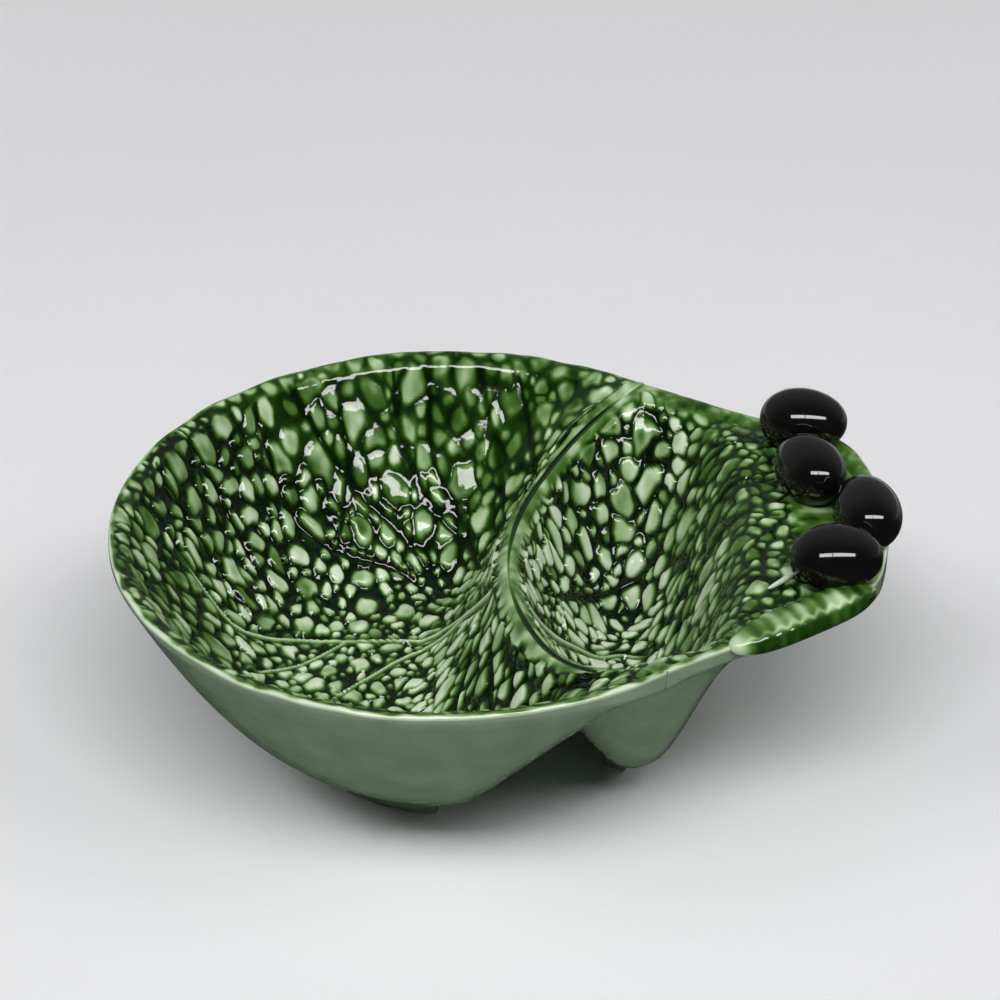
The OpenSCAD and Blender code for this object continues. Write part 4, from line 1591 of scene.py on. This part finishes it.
@dataclass
class CurledEdge:
    """The leaf's front edge rolled over along the tip: a crimped spindle, and the thin stalk behind it."""

    form: DishForm
    finish: bpy.types.Material
    start: float = 16.5
    length: float = 40.0
    thick: float = 4.9
    crimps: float = 11.5
    crimp_depth: float = 0.03
    stalk: tuple[Point, ...] = ((70.0, -28.6), (75.0, -23.8), (79.8, -18.1))
    stalk_mm: float = 0.75
    around: int = 120
    along: int = 260

    def build(self) -> bpy.types.Object:
        """Builds the roll.

        Returns:
            The finished piece.
        """
        f = self.form
        piece, square = new_grid("curled_edge_roll", self.around, self.along)
        turn, s = square[:, 0] * 2 * math.pi, square[:, 1]
        way = (f.front_corner - f.front_joint) / np.linalg.norm(f.front_corner - f.front_joint)
        out = np.array([way[1], -way[0]])
        blunt, thin_end, swell_power = 5, 0.62, 0.8
        ends = (1 - np.abs(2 * s - 1) ** blunt) ** 0.5
        swell = mix(thin_end, 1.0, np.sin(np.pi * s) ** swell_power)
        # Crimps are deepest on the upper front, and slant a little round the roll
        slant = 0.5
        upper = clamp01(0.45 + 0.65 * np.sin(turn - 0.5))
        wave = np.sin(2 * np.pi * self.crimps * s + slant * np.cos(turn))
        radius = self.thick * ends * swell * (1 + self.crimp_depth * wave * upper)
        ahead = self.start + self.length * s
        side = radius * np.cos(turn)
        # The roll is flatter above, and flatter still below its middle
        above, below, sunk = 0.85, 0.62, 0.6
        flatter = np.where(np.sin(turn) > 0, above, mix(1.0, below, np.sin(np.pi * s)))
        up = radius * np.sin(turn) * flatter
        x = f.front_joint[0] + way[0] * ahead + out[0] * side
        y = f.front_joint[1] + way[1] * ahead + out[1] * side
        z = f.rim_h - f.tip_fall(x) - sunk + up
        move_to(piece.data, np.column_stack([x - f.middle, y, z]))
        under_start, under_soft = 0.6, 0.15
        set_attribute(piece.data, "relief", self.tone(turn, s, wave, soft_noise(x, y, 4.0, 11) - 0.5))
        set_attribute(piece.data, "inside", 1 - smooth((-np.sin(turn) - under_start) / under_soft))
        self.add_stalk(piece)
        close_up(piece)
        dress(piece, self.finish, "leaf_glaze", "curled_edge")
        return piece

    def tone(self, turn: Array, s: Array, wave: Array, lumps: Array) -> Array:
        """The glaze's tone over the roll, with a painted highlight along its crest and another at its start.

        Args:
            turn: angle round the roll.
            s: share of the way along it.
            wave: the crimps, from -1 to 1.
            lumps: the glaze's unevenness, about 0 in the mean.

        Returns:
            Tones from 0, pooled, to 1, bare.
        """
        top_tone, front_tone, ridge_highlight_tone, start_highlight_tone, under_tone = 0.56, 0.33, 0.84, 0.86, 0.9
        front = smooth((np.cos(turn) + 0.3) / 0.6) * smooth((0.86 - np.sin(turn)) / 0.4)
        top = top_tone + 0.06 * wave + 0.5 * lumps
        tone = mix(top, front_tone + 0.03 * wave + 0.1 * lumps, front)
        # A painted highlight runs along the crest of the roll and follows the crimps
        ridge_at, ridge_wave, ridge_half = 0.85, 0.1, 0.14
        ridge_highlight = np.exp(-(((turn - ridge_at - ridge_wave * wave) / ridge_half) ** 2))
        tone = mix(tone, ridge_highlight_tone, ridge_highlight * clamp01(0.65 + 1.2 * lumps))
        # The blunt start is painted pale as a highlight.
        tone = mix(start_highlight_tone, tone, smooth((s - 0.03) / 0.1))
        under = smooth((-np.sin(turn) - 0.45) / 0.2)
        return clamp01(mix(tone, under_tone, under))

    def add_stalk(self, piece: bpy.types.Object) -> None:
        """Adds the thin pale stalk that lies on the shelf between the roll and the front olive.

        Args:
            piece: the roll, which takes the stalk in.
        """
        f = self.form
        stalk_tone, raised, blunt, thin_start, thick_end = 0.97, 0.4, 4, 0.7, 1.2
        stalk, square = new_grid("curled_edge_stalk", 20, 60)
        turn, s = square[:, 0] * 2 * math.pi, square[:, 1]
        line = curve_through(self.stalk, 20)
        stations = np.linspace(0, 1, len(line))
        x, y = (np.interp(s, stations, line[:, k]) for k in (0, 1))
        way = (line[-1] - line[0]) / np.linalg.norm(line[-1] - line[0])
        radius = self.stalk_mm * (1 - np.abs(2 * s - 1) ** blunt) ** 0.5 * mix(thin_start, thick_end, s)
        z = f.upper(Side.SMALL, x, y) + raised + radius * np.sin(turn)
        x, y = x + way[1] * radius * np.cos(turn), y - way[0] * radius * np.cos(turn)
        move_to(stalk.data, np.column_stack([x - f.middle, y, z]))
        set_attribute(stalk.data, "relief", np.full(len(s), stalk_tone))
        set_attribute(stalk.data, "inside", np.ones(len(s)))
        take_in(piece, stalk)


@dataclass(frozen=True)
class OlivePlace:
    """Where one olive is bedded: its node, its place in the rim frame and its turn in degrees."""

    node: str
    x: float
    y: float
    turn: float


@dataclass
class Olives:
    """The four olives on the tip: one modelled, the others copied from it."""

    form: DishForm
    finish: bpy.types.Material
    length: float = 20.4
    thick: float = 15.2
    seat: float = 2.2
    places: tuple[OlivePlace, ...] = (
        OlivePlace("back_olive", 83, 34, -8),
        OlivePlace("inner_olive", 82.5, 12.5, 112),
        OlivePlace("end_olive", 93.5, -5.5, 98),
        OlivePlace("front_olive", 85, -24, 6),
    )

    def model(self) -> bpy.types.Object:
        """Models the olive that the others are copied from.

        Returns:
            The olive, lying along X with its seat at Z = 0.
        """
        deselect_all()
        bpy.ops.mesh.primitive_uv_sphere_add(segments=96, ring_count=64, radius=1.0,
                                             rotation=(0, math.pi / 2, 0))
        olive = bpy.context.object
        bpy.ops.object.transform_apply(rotation=True)
        p = coordinates(olive.data)
        blunt, taper = 0.94, 0.06
        across = np.hypot(p[:, 1], p[:, 2])
        fuller = np.where(across > 1e-6, across ** (blunt - 1), 1.0)[:, None]
        p[:, 1:] *= fuller * (1 - taper * p[:, :1])
        p = p * (self.length / 2, self.thick / 2, self.thick / 2)
        p[:, 2] += self.thick / 2 - self.seat
        # The underside is flattened into its bed
        bed = 0.5
        low = p[:, 2] < bed
        p[low, 2] = bed - bed * (1 - np.exp((p[low, 2] - bed) / bed))
        move_to(olive.data, p)
        return olive

    def build(self) -> list[bpy.types.Object]:
        """Builds the olives.

        Returns:
            The finished pieces.
        """
        first = self.model()
        shape = coordinates(first.data) / MM
        made = []
        for place in self.places:
            olive = first if place is self.places[0] else first.copy()
            if olive is not first:
                olive.data = first.data.copy()
                bpy.context.collection.objects.link(olive)
            olive.name = olive.data.name = place.node + "_glazed"
            a = math.radians(place.turn)
            x = shape[:, 0] * math.cos(a) - shape[:, 1] * math.sin(a) + place.x - self.form.middle
            y = shape[:, 0] * math.sin(a) + shape[:, 1] * math.cos(a) + place.y
            move_to(olive.data, np.column_stack([x, y, shape[:, 2] + self.form.shelf_z]))
            close_up(olive)
            dress(olive, self.finish, "olive_glaze", place.node)
            made.append(olive)
        return made


@dataclass
class Foot:
    """A curved foot, thrown as part of a ring, with softened edges and a flare where it is luted on."""

    node: str
    form: DishForm
    finish: bpy.types.Material
    x: float
    radius: float
    sweep: float
    middle_angle: float
    draft: float = 0.8
    soft: float = 0.9
    bevel_from_deg: float = 40.0

    def build(self) -> bpy.types.Object:
        """Spins the foot's section about its centre.

        Returns:
            The finished piece.
        """
        f = self.form
        cx = (self.x - f.middle) * MM
        start = math.radians(self.middle_angle - self.sweep / 2)
        deselect_all()
        bpy.ops.mesh.primitive_plane_add(size=1.0)
        piece = bpy.context.object
        piece.name = piece.data.name = self.node + "_glazed"
        r, t, d, h = self.radius, f.foot_t, self.draft, f.foot_h
        section = {(-1, -1): (r - t, 0), (1, -1): (r, 0), (1, 1): (r + d, h), (-1, 1): (r - t - d, h)}
        points = []
        for vertex in piece.data.vertices:
            radial, z = section[(int(np.sign(vertex.co.x)), int(np.sign(vertex.co.y)))]
            points.append((cx / MM + radial * math.cos(start), radial * math.sin(start), z))
        move_to(piece.data, np.array(points))
        bpy.ops.object.mode_set(mode="EDIT")
        bpy.ops.mesh.select_all(action="SELECT")
        bpy.ops.mesh.spin(steps=96, angle=-math.radians(self.sweep), center=(cx, 0, 0), axis=(0, 0, 1))
        bpy.ops.object.mode_set(mode="OBJECT")
        close_up(piece)
        bevel = piece.modifiers.new("soft_edges", "BEVEL")
        bevel.width = self.soft * MM
        bevel.segments = 4
        bevel.limit_method = "ANGLE"
        bevel.angle_limit = math.radians(self.bevel_from_deg)
        bpy.ops.object.modifier_apply(modifier=bevel.name)
        bpy.ops.object.shade_smooth_by_angle(angle=math.radians(35))
        dress(piece, self.finish, "outside_glaze", self.node)
        return piece


@dataclass
class Studio:
    """Floor, lamps and camera of the photograph."""

    target: tuple[float, float, float] = (-0.73, 48.7, 30.0)
    elevation: float = 32.5
    distance: float = 700.0
    focal_px: float = 2870.0
    image_px: float = 1000.0
    sensor_mm: float = 36.0
    room_grey: str = "#C8C9CC"
    room_level: float = 0.035
    gloss_level: float = 0.36

    def camera(self) -> None:
        """The camera at the photograph's angle."""
        data = bpy.data.cameras.new("photo_camera")
        data.sensor_fit = "HORIZONTAL"
        data.sensor_width = self.sensor_mm
        data.lens = self.focal_px / self.image_px * self.sensor_mm
        data.clip_start, data.clip_end = 0.01, 20.0
        camera = bpy.data.objects.new("photo_camera", data)
        bpy.context.collection.objects.link(camera)
        e = math.radians(self.elevation)
        back = Vector((0, -math.cos(e), math.sin(e)))
        camera.location = (Vector(self.target) + back * self.distance) * MM
        camera.rotation_euler = (-back).to_track_quat("-Z", "Y").to_euler()
        bpy.context.scene.camera = camera

    def floor(self) -> None:
        """The pale sweep that the dish stands on."""
        deselect_all()
        bpy.ops.mesh.primitive_plane_add(size=8.0, location=(0, 0, 0))
        floor = bpy.context.object
        floor.name = floor.data.name = "paper_sweep"
        floor.data.materials.append(StudioPaper().make())

    def lamp(self, name: str, place: tuple[float, float, float], aim: tuple[float, float, float],
             size: tuple[float, float], watts: float) -> bpy.types.Object:
        """Adds a soft box.

        Args:
            name: the lamp's name.
            place: its centre, in metres.
            aim: the point that it faces, in metres.
            size: its width and height, in metres.
            watts: its power.

        Returns:
            The lamp.
        """
        data = bpy.data.lights.new(name, "AREA")
        data.shape = "RECTANGLE"
        data.size, data.size_y = size
        data.energy = watts
        lamp = bpy.data.objects.new(name, data)
        lamp.location = place
        lamp.rotation_euler = (Vector(aim) - Vector(place)).to_track_quat("-Z", "Y").to_euler()
        bpy.context.collection.objects.link(lamp)
        return lamp

    def lamps(self) -> None:
        """A soft box above the front, dimmer ones at the sides, and strips for the gloss."""
        aim = (0.0, 0.0, 0.04)

        def facing(elevation: float, azimuth: float, distance: float = 2.4) -> tuple[float, float, float]:
            """A place seen from the dish.

            Args:
                elevation: angle above the table.
                azimuth: angle to the right of the camera.
                distance: metres from the aim.

            Returns:
                The place, in metres.
            """
            e, a = math.radians(elevation), math.radians(azimuth)
            return (distance * math.cos(e) * math.sin(a), -distance * math.cos(e) * math.cos(a),
                    aim[2] + distance * math.sin(e))

        front_watts, side_watts, strip_watts_per_m, strip_h = 46.0, 15.0, 18.0, 0.46
        boxes = [self.lamp("front_box", facing(61, 0), aim, (2.2, 0.66), front_watts)]
        for name, azimuth in (("left", -75), ("right", 75)):
            boxes.append(self.lamp("side_box_" + name, facing(46, azimuth), aim, (1.3, 0.9), side_watts))
        for box in boxes:
            box.visible_glossy = False
        _, y, z = facing(45, 0)
        strips = [self.lamp("strip_" + name, (x, y, z), (x, 0, aim[2]), (width, strip_h),
                            strip_watts_per_m * width)
                  for name, x, width in (("left", -0.46, 1.16), ("right", 1.19, 2.02))]
        for strip in strips:
            strip.visible_diffuse = False

    def world(self) -> None:
        """A dim grey room round the lamps, which the gloss sees grow brighter overhead and behind."""
        world = bpy.data.worlds.new("studio_room")
        world.use_nodes = True
        tree = world.node_tree
        tree.nodes.clear()
        way = add_node(tree, "ShaderNodeTexCoord").outputs["Generated"]
        depth = add_node(tree, "ShaderNodeSeparateXYZ", links={0: way}).outputs["Y"]
        tent = add_node(tree, "ShaderNodeMapRange",
                        {"interpolation_type": "SMOOTHSTEP", "in:From Min": -0.5, "in:From Max": 0.6,
                         "in:To Min": 0.0, "in:To Max": self.gloss_level}, {0: depth})
        glossy = add_node(tree, "ShaderNodeLightPath").outputs["Is Glossy Ray"]
        level = add_node(tree, "ShaderNodeMath", {"operation": "MULTIPLY_ADD"},
                         {0: tent.outputs[0], 1: glossy})
        level.inputs[2].default_value = self.room_level
        room = add_node(tree, "ShaderNodeBackground", {"in:Color": linear(self.room_grey)},
                        {"Strength": level.outputs[0]})
        add_node(tree, "ShaderNodeOutputWorld", links={"Surface": room.outputs["Background"]})
        bpy.context.scene.world = world

    def build(self) -> None:
        """Sets the whole studio up."""
        bpy.context.scene.view_settings.view_transform = "Standard"
        self.floor()
        self.lamps()
        self.world()
        self.camera()


def main() -> None:
    """Builds the dish piece by piece, then the studio."""
    logging.basicConfig(level=logging.INFO, format="%(message)s")
    form = DishForm()
    leaf = LeafGlaze().make()
    outside = OutsideGlaze().make()
    large_relief = LeafRelief(Side.LARGE, form, LARGE_VEINS, fan=(20, -5), seed=71993)
    small_relief = LeafRelief(Side.SMALL, form, SMALL_VEINS, fan=(18, 8), seed=52711)
    LeafBowl(Side.LARGE, form, large_relief, leaf, outside).build()
    LeafBowl(Side.SMALL, form, small_relief, leaf, outside, faces=270).build()
    CurledEdge(form, leaf).build()
    Olives(form, OliveGlaze().make()).build()
    Foot("large_foot", form, outside, x=0.0, radius=36.0, sweep=174.0, middle_angle=180.0).build()
    Foot("small_foot", form, outside, x=4.5, radius=41.5, sweep=60.0, middle_angle=0.0).build()
    Studio().build()


if __name__ == "__main__":
    main()
